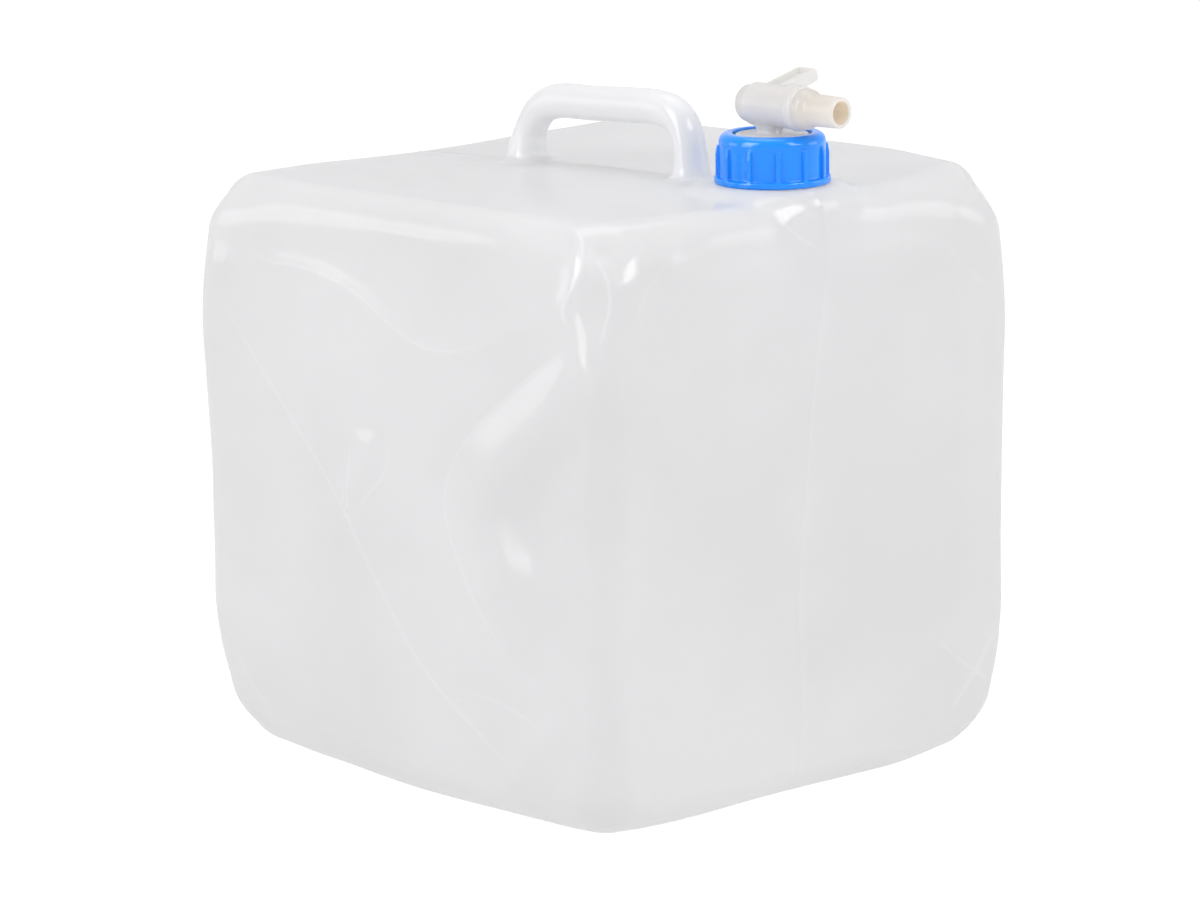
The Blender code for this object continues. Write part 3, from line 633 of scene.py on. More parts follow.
def soften(points):
    """Points of the sharp cube moved onto the soft one, whose corners are rounder and drawn in."""
    half = np.array([HALF, HALF, HALF_HEIGHT])
    signs = np.where(points < 0, -1, 1)
    share = smooth(1 - np.linalg.norm(signs * half - points, axis=1) / CORNER_REACH)
    corner = MM * np.array([CORNERS[tuple(sign)] for sign in signs])
    radius = EDGE_RADIUS + (corner[:, 0] - EDGE_RADIUS) * share
    low = smooth(1 - (points[:, 2] + HALF_HEIGHT) / BOTTOM_ROUNDER_HEIGHT)
    leftness = BOTTOM_ROUNDER_SHARE - (points[:, 0] + points[:, 1]) / (4 * HALF)
    radius += BOTTOM_ROUNDER * low * leftness * (1 - share)
    core_half = half - radius[:, None]
    core = np.clip(points, -core_half, core_half)
    away = points - core
    away /= np.linalg.norm(away, axis=1)[:, None]
    drawn_in = signs / math.sqrt(3) * (corner[:, 1] * share)[:, None]
    return core + away * radius[:, None] - drawn_in


def swell(points):
    """Bulge the sides, dome the top and lift its back corners. The base stays flat."""
    half = np.array([HALF, HALF, HALF_HEIGHT])
    share = np.minimum(np.abs(points) / half, 1)
    fall = 1 - share ** 2
    moved = points.copy()
    sides = SIDE_BULGE * fall[:, 2:] * fall[:, 1::-1] * share[:, :2] ** BULGE_EDGE_POWER
    moved[:, :2] += np.sign(points[:, :2]) * sides
    above = np.clip(points[:, 2] / HALF_HEIGHT, 0, 1) ** BULGE_EDGE_POWER
    backwards = np.clip((1 + points[:, 1] / HALF) / 2, 0, 1) ** TOP_LIFT_POWER
    lift = sum(
        height * backwards * np.clip((1 + sign * points[:, 0] / HALF) / 2, 0, 1)
        for sign, height in TOP_LIFTS.items()
    )
    moved[:, 2] += above * (TOP_DOME * fall[:, 0] * fall[:, 1] + lift)
    return moved


def drift(points):
    """Move the film in or out at the places where the photograph shows it so."""
    moved = points.copy()
    for place, move, reach in DRIFTS:
        away = np.linalg.norm(points - MM * np.array(place), axis=1)
        moved += np.exp(-((away / reach / MM) ** 2))[:, None] * MM * np.array(move)
    moved[:, 2] = np.maximum(moved[:, 2], 0)
    return moved


def point_normals(points, faces):
    """Normals of the points, each the mean over its faces by their size."""
    first = points[faces[:, 2]] - points[faces[:, 0]]
    second = points[faces[:, 3]] - points[faces[:, 1]]
    across = np.cross(first, second)
    normals = np.zeros_like(points)
    for corner in range(4):
        np.add.at(normals, faces[:, corner], across)
    return normals / np.maximum(np.linalg.norm(normals, axis=1), 1e-12)[:, None]


def along_line(points, line):
    """Each point's way to the nearest place on a line of points, how long it is, and that place's
    share of the line."""
    lengths = np.linalg.norm(np.diff(line, axis=0), axis=1)
    starts = np.concatenate([[0], np.cumsum(lengths)])
    best = np.full(len(points), np.inf)
    way = np.zeros_like(points)
    share = np.zeros(len(points))
    for i, length in enumerate(lengths):
        step = (line[i + 1] - line[i]) / length
        place = np.clip((points - line[i]) @ step, 0, length)
        to_it = line[i] + place[:, None] * step - points
        distance = np.linalg.norm(to_it, axis=1)
        nearer = distance < best
        best[nearer] = distance[nearer]
        way[nearer] = to_it[nearer]
        share[nearer] = (starts[i] + place[nearer]) / starts[-1]
    return way, best, share


def eased(line):
    """A line of places with its corners cut, twice."""
    for _ in range(2):
        first = 0.75 * line[:-1] + 0.25 * line[1:]
        second = 0.25 * line[:-1] + 0.75 * line[1:]
        between = np.stack([first, second], axis=1).reshape(-1, line.shape[1])
        line = np.concatenate([line[:1], between, line[-1:]])
    return line


def in_space(side, line):
    """A line over a side of the container, as places in space."""
    line = MM * np.array(line)
    if side == "front":
        across, up, deep = line.T
        return np.stack([across / math.sqrt(2) + deep, across / math.sqrt(2) - deep, up], axis=1)
    axis, facing, way = SIDES[side]
    places = np.zeros((len(line), 3))
    places[:, (axis, 2)] = line
    places[:, facing] = way * (HALF + SIDE_BULGE / 2)
    return places


def over_side(side, points):
    """How far across a side points are, and which of them are on it."""
    if side == "front":
        return (points[:, 0] + points[:, 1]) / math.sqrt(2), points[:, 0] - points[:, 1] > FRONT_FROM
    axis, facing, way = SIDES[side]
    return points[:, axis], way * points[:, facing] > SIDE_FROM


def ledge(way, away, share, width):
    """The profile of a ledge: up from its line on one side, and down again further off."""
    inside = way[:, 0] + LEDGE_LEAN * way[:, 2] < 0
    narrower = width * smooth(share / LEDGE_TAPER + LEDGE_START)
    rise = np.clip(away / narrower, 0, 1)
    fall = smooth((LEDGE_END - away) / (LEDGE_END - narrower))
    rounded = (1 + LEDGE_ROUND) * rise - LEDGE_ROUND * rise ** LEDGE_ROUND_POWER
    return inside * rounded * fall * narrower / width


def crease(points, normals):
    """Raise the folds and press in the dents."""
    moved = np.zeros(len(points))
    for side, shape, height, width, line in FOLDS:
        way, away, share = along_line(points, eased(in_space(side, line)))
        end_height = FOLD_END_HEIGHT
        if shape == "sharp":
            profile = np.exp(-away / (width * MM))
        elif shape == "round":
            profile = np.exp(-((away / (width * MM)) ** 2))
        else:
            profile = ledge(way, away, share, width * MM)
            end_height = 0
        ends = smooth(np.minimum(share, 1 - share) / FOLD_ENDS + end_height)
        moved += height * MM * profile * ends
    return points + normals * moved[:, None]


def crease_lines(points):
    """How far each point is from the nearest sharp crease, with the side it is on, and how strong
    the crease is there."""
    nearest = np.full(len(points), NO_CREASE)
    strength = np.zeros(len(points))
    for side, whiteness, corners in CREASE_LINES:
        line = eased(MM * np.array([corner[:2] for corner in corners]))
        across, facing = over_side(side, points)
        flat = np.stack([across, points[:, 2]], axis=1)
        lengths = np.linalg.norm(np.diff(line, axis=0), axis=1)
        shares = np.concatenate([[0], np.cumsum(lengths)]) / lengths.sum()
        for start, end, first, last in zip(line, line[1:], shares, shares[1:]):
            length = np.linalg.norm(end - start)
            step = (end - start) / length
            place = (flat - start) @ step
            aside = (flat - start) @ np.array((-step[1], step[0]))
            past = np.maximum(np.maximum(place - length, -place), 0)
            closer = facing & (np.hypot(aside, past) < np.abs(nearest)) & (past < CREASE_OVERRUN)
            nearest[closer] = aside[closer]
            share = np.clip(first + (last - first) * place / length, 0, 1)[closer]
            ends = CREASE_END_GROWTH * np.minimum(share, 1 - share) + CREASE_END_SHARE
            strength[closer] = whiteness * np.clip(ends, 0, 1)
    return nearest, strength


def shoulder_distance(points):
    """Distance from the round shoulder under the cap, below 0 inside it."""
    local = (points - NECK_FOOT) @ NECK_TURN
    out = np.hypot(local[:, 0], local[:, 1])
    lean = math.atan2(SHOULDER_TAPER, SHOULDER_DROP + SHOULDER_TOP - SHOULDER_ROUND)
    widest = SHOULDER_TOP - SHOULDER_ROUND
    past_wall = out - SHOULDER_RADIUS
    past_cone = past_wall * math.cos(lean) - (local[:, 2] - widest) * math.sin(lean)
    past_side = np.maximum(past_wall, past_cone) + SHOULDER_ROUND
    past_top = local[:, 2] - SHOULDER_TOP + SHOULDER_ROUND
    rounded = np.hypot(np.maximum(past_side, 0), np.maximum(past_top, 0))
    return rounded + np.minimum(np.maximum(past_side, past_top), 0) - SHOULDER_ROUND


def raise_shoulder(points, normals):
    """Push the film out along its normals onto the shoulder, melting the two together."""
    near = np.hypot(points[:, 0] - NECK_X, points[:, 1]) < 2 * SHOULDER_RADIUS
    near &= points[:, 2] > TOP - 2 * SHOULDER_DROP
    start, away = points[near], normals[near]
    out = np.hypot(start[:, 0] - NECK_X, start[:, 1])
    inner, outer = SHOULDER_MELT
    melt = inner + (outer - inner) * smooth((out - NECK_RADIUS) / (SHOULDER_RADIUS - NECK_RADIUS))
    pushed = np.zeros(len(start))
    for _ in range(SHOULDER_ROUNDS):
        to_shoulder = shoulder_distance(start + away * pushed[:, None])
        pushed -= united(pushed, to_shoulder, melt)
    moved = points.copy()
    moved[near] = start + away * pushed[:, None]
    return moved


def loop_rings(angles):
    """Rings of the carrying loop from the left foot to the right, each square to the loop's way. The
    first one has its points at these angles, seen from above."""
    places = np.linspace(0, len(LOOP_STATIONS) - 1, LOOP_STEPS + 1)
    tracks = np.array([through_stations(place) for place in places])
    steps = np.gradient(tracks[:, :2], axis=0)
    steps /= np.linalg.norm(steps, axis=1)[:, None]
    rings = []
    for (x, up, wide, deep), (ahead_x, ahead_z) in zip(tracks, steps):
        across = -wide * np.cos(angles)
        aside = deep * np.sin(angles)
        rings.append(np.stack([x - ahead_z * across, aside, TOP + up + ahead_x * across], axis=1))
    return rings


def through_stations(place):
    """A smooth curve through the loop's stations."""
    last = len(LOOP_STATIONS) - 1
    at = min(int(place), last - 1)
    t = place - at
    start, end = LOOP_STATIONS[at], LOOP_STATIONS[at + 1]
    bend_in = (end - LOOP_STATIONS[max(at - 1, 0)]) / (2 if at > 0 else 1)
    bend_out = (LOOP_STATIONS[min(at + 2, last)] - start) / (2 if at < last - 1 else 1)
    return (
        (2 * t**3 - 3 * t**2 + 1) * start
        + (t**3 - 2 * t**2 + t) * bend_in
        + (3 * t**2 - 2 * t**3) * end
        + (t**3 - t**2) * bend_out
    )


def around(first, second):
    """Faces between two rings with as many points."""
    return np.stack([first, np.roll(first, -1), np.roll(second, -1), second], axis=1)


def film_skin(step, rim_radius):
    """The film's outside: points, faces, and the numbers and angles of the points round the neck's
    hole. With a step of 2 it takes every second grid line and leaves out the seam."""
    lines = [line[::step] for line in grid_lines()]
    points, sides, top = cube_surface(lines)
    on_front = smooth((points[:, 0] - FLAT) / EDGE_RADIUS)
    places, heights = MM * np.array(SEAM_WANDER).T
    wander = np.interp(points[:, 2] + HALF_HEIGHT, heights, places)
    on_seam = np.abs(points[:, 1]) < SEAM_HALF_WIDTH / 2
    points[:, 1] += on_front * wander * smooth(1 - np.abs(points[:, 1]) / FLAT)

    neck_ring, neck_angles = open_round(points, top, lines, NECK_HOLE, rim_radius)
    foot_angles = ring(block_of(LEFT_HOLE, lines), 0, corner_angle(LEFT_HOLE))[2]
    rings = loop_rings(foot_angles)
    order = np.arange(len(foot_angles))
    half_turn = round((180 + 2 * corner_angle(LEFT_HOLE)) / 360 * len(order))
    mirrored = (half_turn - order) % len(order)
    left = open_foot(points, top, lines, LEFT_HOLE, rings[0])
    right = open_foot(points, top, lines, RIGHT_HOLE, rings[-1][mirrored])

    keep = np.ones((len(lines[0]) - 1, len(lines[1]) - 1), bool)
    for hole in (LEFT_HOLE, RIGHT_HOLE, NECK_HOLE):
        low, high, near, far = block_of(hole, lines)
        keep[low:high, near:far] = False
    sides[-1] = sides[-1][keep]
    faces = np.concatenate([side.reshape(-1, 4) for side in sides])

    points = swell(soften(points))
    points[:, 2] += HALF_HEIGHT
    points = drift(points)
    points = crease(points, point_normals(points, faces))
    points = raise_shoulder(points, point_normals(points, faces))
    if step == 1:
        points[on_seam] += (point_normals(points, faces) * SEAM_HEIGHT)[on_seam]
    points[neck_ring] = on_neck(rim_radius, neck_angles, SHOULDER_TOP)
    for numbers, heights, share in left + right:
        points[numbers, 2] += (heights - points[numbers, 2]) * share

    between = [order + len(points) + i * len(order) for i in range(len(rings) - 2)]
    points = np.concatenate([points] + rings[1:-1])
    chain = [left[-1][0]] + between + [right[-1][0][mirrored]]
    faces = np.concatenate([faces] + [around(a, b) for a, b in zip(chain, chain[1:])])
    return points, faces, neck_ring, neck_angles


def on_neck(radius, angles, height):
    """Points round the neck's axis."""
    local = [radius * np.cos(angles), radius * np.sin(angles), np.full(len(angles), height)]
    return np.stack(local, axis=1) @ NECK_TURN.T + NECK_FOOT


def thread(angles, height, start, turns):
    """How far a thread stands out at these angles and this height."""
    turn = angles / math.tau % 1
    nearest = np.round((height - start) / THREAD_PITCH - turn)
    off = np.abs(height - start - (nearest + turn) * THREAD_PITCH)
    along = nearest + turn
    ends = np.clip(np.minimum(along, turns - along) * THREAD_END_GROWTH + THREAD_END_SHARE, 0, 1)
    ends = ends * (along >= 0) * (along <= turns)
    return THREAD_DEPTH * np.clip((THREAD_HALF_WIDTH - off) / (THREAD_HALF_WIDTH / 2), 0, 1) * ends


def neck_rings(angles):
    """Rings up the neck's threaded wall, over its rim and down its bore."""
    rings = []
    for height in np.linspace(SHOULDER_TOP, NECK_RIM - NECK_RIM_ROUND, NECK_ROWS)[1:]:
        radius = NECK_RADIUS + thread(angles, height, THREAD_START, THREAD_TURNS)
        rings.append(on_neck(radius, angles, height))
    rings.append(on_neck(NECK_RADIUS - NECK_RIM_ROUND, angles, NECK_RIM))
    rings.append(on_neck(NECK_BORE + NECK_RIM_ROUND, angles, NECK_RIM))
    for height in np.linspace(NECK_RIM - NECK_RIM_ROUND, SHOULDER_TOP, BORE_ROWS):
        rings.append(on_neck(NECK_BORE, angles, height))
    return rings


def closing(fine, coarse):
    """Faces between a ring and one with half as many points."""
    faces = []
    for k in range(len(coarse)):
        a, b, c = fine[2 * k], fine[2 * k + 1], fine[(2 * k + 2) % len(fine)]
        d, e = coarse[k], coarse[(k + 1) % len(coarse)]
        faces += [(a, b, d), (b, e, d), (b, c, e)]
    return faces


def mesh_object(name, points, faces, material):
    """A closed mesh from points and faces, smooth but for its sharp edges."""
    mesh = bpy.data.meshes.new(name)
    mesh.from_pydata(points.tolist(), [], [list(map(int, face)) for face in faces])
    mesh.validate()
    bm = bmesh.new()
    bm.from_mesh(mesh)
    bmesh.ops.recalc_face_normals(bm, faces=bm.faces)
    bm.to_mesh(mesh)
    bm.free()
    mesh.shade_smooth()
    mesh.set_sharp_from_angle(angle=SHARP_ANGLE)
    mesh.materials.append(material)
    return in_scene(bpy.data.objects.new(name, mesh))


def in_scene(made):
    """Put an object into the scene."""
    bpy.context.scene.collection.objects.link(made)
    return made


def store(made, name, values):
    """Keep a value for each point, for the material to read."""
    kept = made.data.attributes.new(name, "FLOAT", "POINT")
    kept.data.foreach_set("value", values.astype(np.float32))


def normals_of(made):
    normals = np.empty(3 * len(made.data.vertices), np.float32)
    made.data.vertices.foreach_get("normal", normals)
    return normals.reshape(-1, 3)


def places_of(made, centre):
    """A piece's points along and across the neck, from a centre."""
    return (np.array([v.co for v in made.data.vertices]) - np.array(centre)) @ NECK_TURN


def loop_whiteness(points, normals):
    """How much whiter the film of the carrying loop is painted, most on its inner side and low on its
    legs:
    painted light that stands in for the light that comes through the plastic there."""
    on_loop = smooth((points[:, 2] - TOP - LOOP_FOOT) / LOOP_FOOT)
    on_loop = on_loop * (np.abs(points[:, 1]) < LOOP_REACH) * (points[:, 0] < LOOP_END)
    inward = LOOP_MIDDLE - points
    inward /= np.linalg.norm(inward, axis=1)[:, None]
    facing = smooth(0.5 + FACING_SLOPE * (inward * normals).sum(axis=1))
    low = 1 - smooth((points[:, 2] - TOP) / LOOP_LEG_HEIGHT)
    return on_loop * (LOOP_WHITER + LOOP_INSIDE_PAINTED_LIGHT * facing + LOOP_LEG_PAINTED_LIGHT * low)


def make_film():
    """The container's film, inside and outside, joined over the neck's rim."""
    points, faces, ring_out, angles = film_skin(1, NECK_RADIUS)
    inner, inner_faces, ring_in, inner_angles = film_skin(2, NECK_BORE)
    thickness = FILM + (LOOP_FILM - FILM) * smooth((inner[:, 2] - TOP) / LOOP_FILM_RISE)
    inner = inner - point_normals(inner, inner_faces) * thickness[:, None]
    inner[ring_in] = on_neck(NECK_BORE, inner_angles, SHOULDER_TOP - FILM)

    rings = neck_rings(angles)
    order = np.arange(len(angles))
    chain = [ring_out] + [order + len(points) + i * len(order) for i in range(len(rings))]
    faces = list(faces) + [face for a, b in zip(chain, chain[1:]) for face in around(a, b)]
    points = np.concatenate([points] + rings)
    faces += list(inner_faces[:, ::-1] + len(points))
    faces += closing(chain[-1], ring_in + len(points))
    points = np.concatenate([points, inner])

    film = mesh_object("container_film", points, faces, film_material())
    away, strength = crease_lines(points)
    store(film, "crease_away", away)
    store(film, "crease_strength", strength)
    # Painted light on the carrying loop; its inner wall there is painted fully white
    whiteness = loop_whiteness(points, normals_of(film))
    whiteness[-len(inner):] = np.where(whiteness[-len(inner):] > 0, 1, 0)
    store(film, "loop_white_and_painted_light", whiteness)
    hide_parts("container_walls", "container_top")
    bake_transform(film)


def united(first, second, fillet):
    """Distance from two shapes joined with a fillet, from the distances of each."""
    mix = np.clip(0.5 + 0.5 * (second - first) / fillet, 0, 1)
    return second * (1 - mix) + first * mix - fillet * mix * (1 - mix)


def cut(shape, hole, fillet):
    """Distance from a shape with a hole taken out of it."""
    return -united(-shape, hole, fillet)


def past(value, low, high):
    """How far a value is past a range, below 0 inside it."""
    return np.abs(value - (low + high) / 2) - (high - low) / 2


def slab(edge, *ways):
    """Distance from a block with rounded edges, from how far past its sides a place is each way."""
    ways = [way + edge for way in ways]
    outside = np.sqrt(sum(np.maximum(way, 0) ** 2 for way in ways))
    return outside + np.minimum(np.maximum.reduce(ways), 0) - edge


def disc(out, up, radius, low, high, edge):
    """Distance from a round slab between two heights."""
    return slab(edge, out - radius, past(up, low, high))


def cap_distance(points):
    """The ring cap: skirt, foot bead, ribs, rounded shoulder, hole in its top and thread inside."""
    out = np.hypot(points[:, 0], points[:, 1])
    up = points[:, 2]
    angles = np.arctan2(points[:, 1], points[:, 0])
    body = disc(out, up, CAP_RADIUS, CAP_FOOT - CAP_TOP_ROUND, CAP_TOP, CAP_TOP_ROUND)
    turn = (angles - CAP_RIB_PHASE) * CAP_RIBS / math.tau
    aside = np.abs(out * np.sin((turn - np.round(turn)) * math.tau / CAP_RIBS))
    sloping = CAP_RIB.slope * np.maximum(up - CAP_RIB.top + (CAP_RIB.top - CAP_FOOT) / 4, 0)
    crest = CAP_RADIUS + CAP_RIB.proud - sloping
    beside = aside - CAP_RIB.half_width
    rib = slab(CAP_RIB.edge, beside, out - crest, past(up, CAP_FOOT, CAP_RIB.top))
    body = united(body, rib, CAP_RIB.fillet)
    high = CAP_FOOT + CAP_BEAD.height
    bead = disc(out, up, CAP_BEAD.radius, CAP_FOOT, high, CAP_BEAD.edge)
    body = united(body, bead, CAP_BEAD.fillet)
    body = np.maximum(body, CAP_FOOT - up)
    thread_in = thread(angles, up, CAP_THREAD_START, CAP_THREAD_TURNS)
    inside = disc(out + thread_in, up, CAP_INSIDE, CAP_FOOT - CAP_TOP, CAP_ROOF, SMALL)
    body = cut(body, inside, SMALL)
    return cut(body, out - CAP_HOLE, 2 * SMALL)


def seal_distance(points):
    """The washer on the neck's rim."""
    out = np.hypot(points[:, 0], points[:, 1])
    across, upright = past(out, SEAL_INSIDE, SEAL_OUTSIDE), past(points[:, 2], SEAL_LOW, SEAL_HIGH)
    return slab(SMALL, across, upright)


def barrel_distance(along, across, around_barrel, up):
    """The tap's barrel, with the collar at its front and the lug that stops the lever."""
    barrel = disc(around_barrel, along, BARREL_RADIUS, BARREL_BACK, BARREL_FRONT, BARREL_EDGE)
    collar = BARREL_COLLAR
    front = disc(around_barrel, along, collar.radius, collar.start, BARREL_FRONT, collar.edge)
    barrel = united(barrel, front, collar.fillet)
    lug_top = BARREL_UP + BARREL_RADIUS + STOP_LUG.proud
    lug = slab(
        SMALL,
        past(along, STOP_LUG.start, STOP_LUG.end),
        np.abs(across) - STOP_LUG.half_width,
        past(up, lug_top - 2 * BARREL_EDGE, lug_top),
    )
    return united(barrel, lug, SMALL)


def riser_distance(along, across, up):
    """The tap's riser with the rib through it."""
    beside = np.maximum(np.maximum(along - RISER.end, RISER.start - along), 0)
    upright = past(up, 0, BARREL_UP)
    riser = np.maximum(np.hypot(beside, across) - RISER.radius, upright)
    rib = slab(SMALL, np.abs(along) - RISER_RIB.reach, np.abs(across) - RISER_RIB.half_width, upright)
    riser = united(riser, rib, SMALL)
    return np.maximum(riser, DISC_LOW - up)


def tap_distance(points):
    """The tap's disc, riser and barrel, with the bores through them."""
    along, across, up = points.T
    out = np.hypot(along, across)
    around_barrel = np.hypot(across, up - BARREL_UP)
    barrel = barrel_distance(along, across, around_barrel, up)
    tap = united(barrel, riser_distance(along, across, up), 2 * BARREL_COLLAR.fillet)
    plate = disc(out, up, DISC_RADIUS, DISC_LOW, DISC_HIGH, SMALL)
    plateau = disc(out, up, PLATEAU_RADIUS, DISC_LOW, DISC_FACE, SMALL)
    tap = united(tap, united(plate, plateau, SMALL), BARREL_COLLAR.fillet)
    tap = np.maximum(tap, DISC_LOW - up)
    tap = cut(tap, around_barrel - BARREL_BORE, SMALL)
    hole = np.maximum(out - RISER.bore, up - BARREL_UP)
    return cut(tap, hole, SMALL)


def spout_radius(along):
    """The spout's outer radius: collar, cone and tapering spout."""
    places = (SPOUT_COLLAR.end, SPOUT_CONE_END, SPOUT_TIP)
    radii = (SPOUT_COLLAR.radius, SPOUT_ROOT_RADIUS, SPOUT_TIP_RADIUS)
    spread = SPOUT_EASE * np.array((-1.0, 0.0, 1.0))
    return np.mean([np.interp(along + step, places, radii) for step in spread], axis=0)


def lever_distance(points):
    """The lever with its pocket and its cut tip, in its own frame: along the barrel's axis, out
    along the lever, and up."""
    cos, sin = math.cos(LEVER.rise), math.sin(LEVER.rise)
    aside = points[:, 0]
    reach = points[:, 1] * cos + points[:, 2] * sin
    rise = points[:, 2] * cos - points[:, 1] * sin
    deep, low, high, edge = LEVER.half_depth, LEVER_BLADE.low, LEVER_BLADE.high, LEVER_BLADE.edge
    above = np.abs(rise) - deep
    blade = slab(edge, past(aside, low, high), past(reach, LEVER.start, LEVER.reach), above)
    root_reach = past(reach, LEVER_ROOT.start, LEVER_ROOT.end)
    root = slab(edge, past(aside, HUB.back, HUB.front), root_reach, above)
    lever = united(blade, root, SMALL)
    past_tip = reach - LEVER.reach + np.abs(rise + LEVER_TIP.low) - deep
    past_corner = past_tip * math.sqrt(0.5) + LEVER_TIP.cut
    lever = cut(lever, -past_corner, edge)
    pocket = slab(
        SMALL,
        past(aside, low + LEVER_POCKET.wall, high - LEVER_POCKET.wall),
        past(reach, LEVER_POCKET.start, LEVER_POCKET.end),
        deep - LEVER_POCKET.depth - rise,
    )
    return cut(lever, pocket, SMALL)


def plug_distance(points):
    """The turning plug from its hub to its spout, with the lever, the bore and the port."""
    along, across, up = points.T
    out = np.hypot(across, up)
    hub = disc(out, along, HUB.radius, HUB.back, HUB.front + 2 * HUB.edge, HUB.edge)
    hub = np.maximum(hub, along - HUB.front)
    core = disc(out, along, PLUG_RADIUS, HUB.back + HUB.edge, SPOUT_COLLAR.end, SMALL)
    plug = united(hub, core, SMALL)
    spout = disc(out, along, spout_radius(along), SPOUT_COLLAR.start, SPOUT_TIP, SPOUT_COLLAR.edge)
    plug = united(plug, spout, SMALL)
    plug = united(plug, lever_distance(points), 2 * LEVER_BLADE.edge)
    bore = np.maximum(out - SPOUT_BORE, SPOUT_BORE_END - along)
    plug = cut(plug, bore, SPOUT_LIP)
    port = np.maximum(np.hypot(along, up) - PORT_RADIUS, across)
    return cut(plug, port, SMALL)


def grid_values(distance, low, counts):
    """Distances on the grid, worked out only where the surface is near."""
    places = [low[i] + CELL * BLOCK * (np.arange(counts[i]) + 0.5) for i in range(3)]
    middles = np.stack(np.meshgrid(*places, indexing="ij"), axis=-1)
    values = distance(middles.reshape(-1, 3)).reshape(counts)
    for axis in range(3):
        values = values.repeat(BLOCK, axis=axis)
    near = np.abs(values) < NEAR_BLOCKS * BLOCK * CELL
    values[near] = distance(low + CELL * (np.argwhere(near) + 0.5))
    return values


def grid_faces(inside, numbers):
    """A four-sided face across each grid line that passes through the surface."""
    faces = []
    for axis in range(3):
        steps = np.eye(3, dtype=int)
        ahead, aside, above = steps[axis], steps[(axis + 1) % 3], steps[(axis + 2) % 3]
        first = inside[tuple(slice(0, -1) if step else slice(None) for step in ahead)]
        second = inside[tuple(slice(1, None) if step else slice(None) for step in ahead)]
        for leaves in (True, False):
            found = np.argwhere((first != second) & (first == leaves))
            corners = [found - aside - above, found - above, found, found - aside]
            face = np.stack([numbers[tuple(corner.T)] for corner in corners], axis=1)
            faces.append(face if leaves else face[:, ::-1])
    return np.concatenate(faces)


def surface(distance, low, high):
    """Points and faces of the surface where a distance is 0, found on a grid and then moved onto
    it."""
    low = np.array(low)
    counts = np.ceil((np.array(high) - low) / (CELL * BLOCK)).astype(int)
    values = grid_values(distance, low, counts)
    inside = values < 0
    offsets = np.array([(i, j, k) for i in (0, 1) for j in (0, 1) for k in (0, 1)])
    spans = np.array(values.shape) - 1
    corners = [inside[tuple(slice(o, o + s) for o, s in zip(offset, spans))] for offset in offsets]
    filled = sum(corner.astype(np.int8) for corner in corners)
    crossed = (filled > 0) & (filled < 8)
    cells = np.argwhere(crossed)
    numbers = np.full(crossed.shape, -1)
    numbers[crossed] = np.arange(len(cells))
    at = [values[tuple((cells + offset).T)] for offset in offsets]
    total, count = np.zeros((len(cells), 3)), np.zeros((len(cells), 1))
    for a in range(8):
        for b in range(a + 1, 8):
            if np.abs(offsets[a] - offsets[b]).sum() == 1:
                passes = ((at[a] < 0) != (at[b] < 0))[:, None]
                drop = np.where(at[a] == at[b], 1, at[a] - at[b])
                share = np.where(passes, (at[a] / drop)[:, None], 0)
                total += passes * (offsets[a] + share * (offsets[b] - offsets[a]))
                count += passes
    points = low + CELL * (0.5 + cells + total / count)
    return settle(distance, points), grid_faces(inside, numbers)


def settle(distance, points):
    """Move points the short way onto the surface where a distance is 0."""
    steps = np.eye(3) * SETTLE_STEP
    for _ in range(SETTLE_ROUNDS):
        here = distance(points)
        slope = np.stack([distance(points + step) - distance(points - step) for step in steps], axis=1)
        slope /= 2 * SETTLE_STEP
        steep = np.maximum((slope ** 2).sum(axis=1), SETTLE_FLATTEST)
        move = -(here / steep)[:, None] * slope
        length = np.linalg.norm(move, axis=1)[:, None]
        points = points + move * np.minimum(1, SETTLE_MOST / np.maximum(length, 1e-12))
    return points


def closure_piece(name, distance, low, high, centre, material):
    """A piece of the closure from its distances, found between two corners round its centre."""
    points, faces = surface(distance, low, high)
    made = mesh_object(name, points @ NECK_TURN.T + np.array(centre), faces, material)
    # Painted light where a piece faces down, read by the tap's and the plug's materials
    store(made, "under", smooth(0.5 - FACING_SLOPE * normals_of(made)[:, 2]))
    return made


def neck_piece(name, distance, radius, low, high, material):
    """A piece of the closure that sits round the neck's axis, between two heights."""
    wide = radius + 2 * CELL
    return closure_piece(name, distance, (-wide, -wide, low), (wide, wide, high), NECK_FOOT, material)


def make_cap():
    low, high = CAP_FOOT - MARGIN, CAP_TOP + MARGIN
    cap = neck_piece("ring_cap", cap_distance, CAP_BEAD.radius, low, high, cap_material())
    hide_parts("cap_ring")
    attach(cap, "ring")


def make_seal():
    low, high = SEAL_LOW - MARGIN, SEAL_HIGH + MARGIN
    seal = neck_piece("seal_washer", seal_distance, SEAL_OUTSIDE, low, high, seal_material())
    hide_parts("cap_seal")
    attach(seal, "closure")


def make_tap():
    low, high = DISC_LOW - MARGIN, BARREL_UP + BARREL_ROOM
    tap = neck_piece("tap_barrel", tap_distance, DISC_RADIUS, low, high, tap_material())
    # Painted light on the part of the tap that the barrel hides from the light
    heights = places_of(tap, NECK_FOOT)[:, 2]
    hidden = BARREL_UP - HIDDEN_BELOW * BARREL_RADIUS - heights
    store(tap, "low", smooth(hidden / (HIDDEN_SOFT * BARREL_RADIUS)))
    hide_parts("tap_body")
    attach(tap, "tap")


def make_plug():
    low = (HUB.back - MARGIN, *PLUG_ROOM[0])
    high = (SPOUT_TIP + MARGIN, *PLUG_ROOM[1])
    material = plug_material()
    plug = closure_piece("tap_lever_and_spout", plug_distance, low, high, BARREL_CENTRE, material)
    # Points in the spout's bore get the painted tan tint of light bouncing inside the plastic
    along, across, up = places_of(plug, BARREL_CENTRE).T
    in_bore = np.hypot(across, up) < SPOUT_BORE + SPOUT_LIP / 2
    store(plug, "bore", in_bore & (along > 0) & (along < SPOUT_TIP - SPOUT_LIP))
    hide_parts("tap_plug")
    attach(plug, "plug")


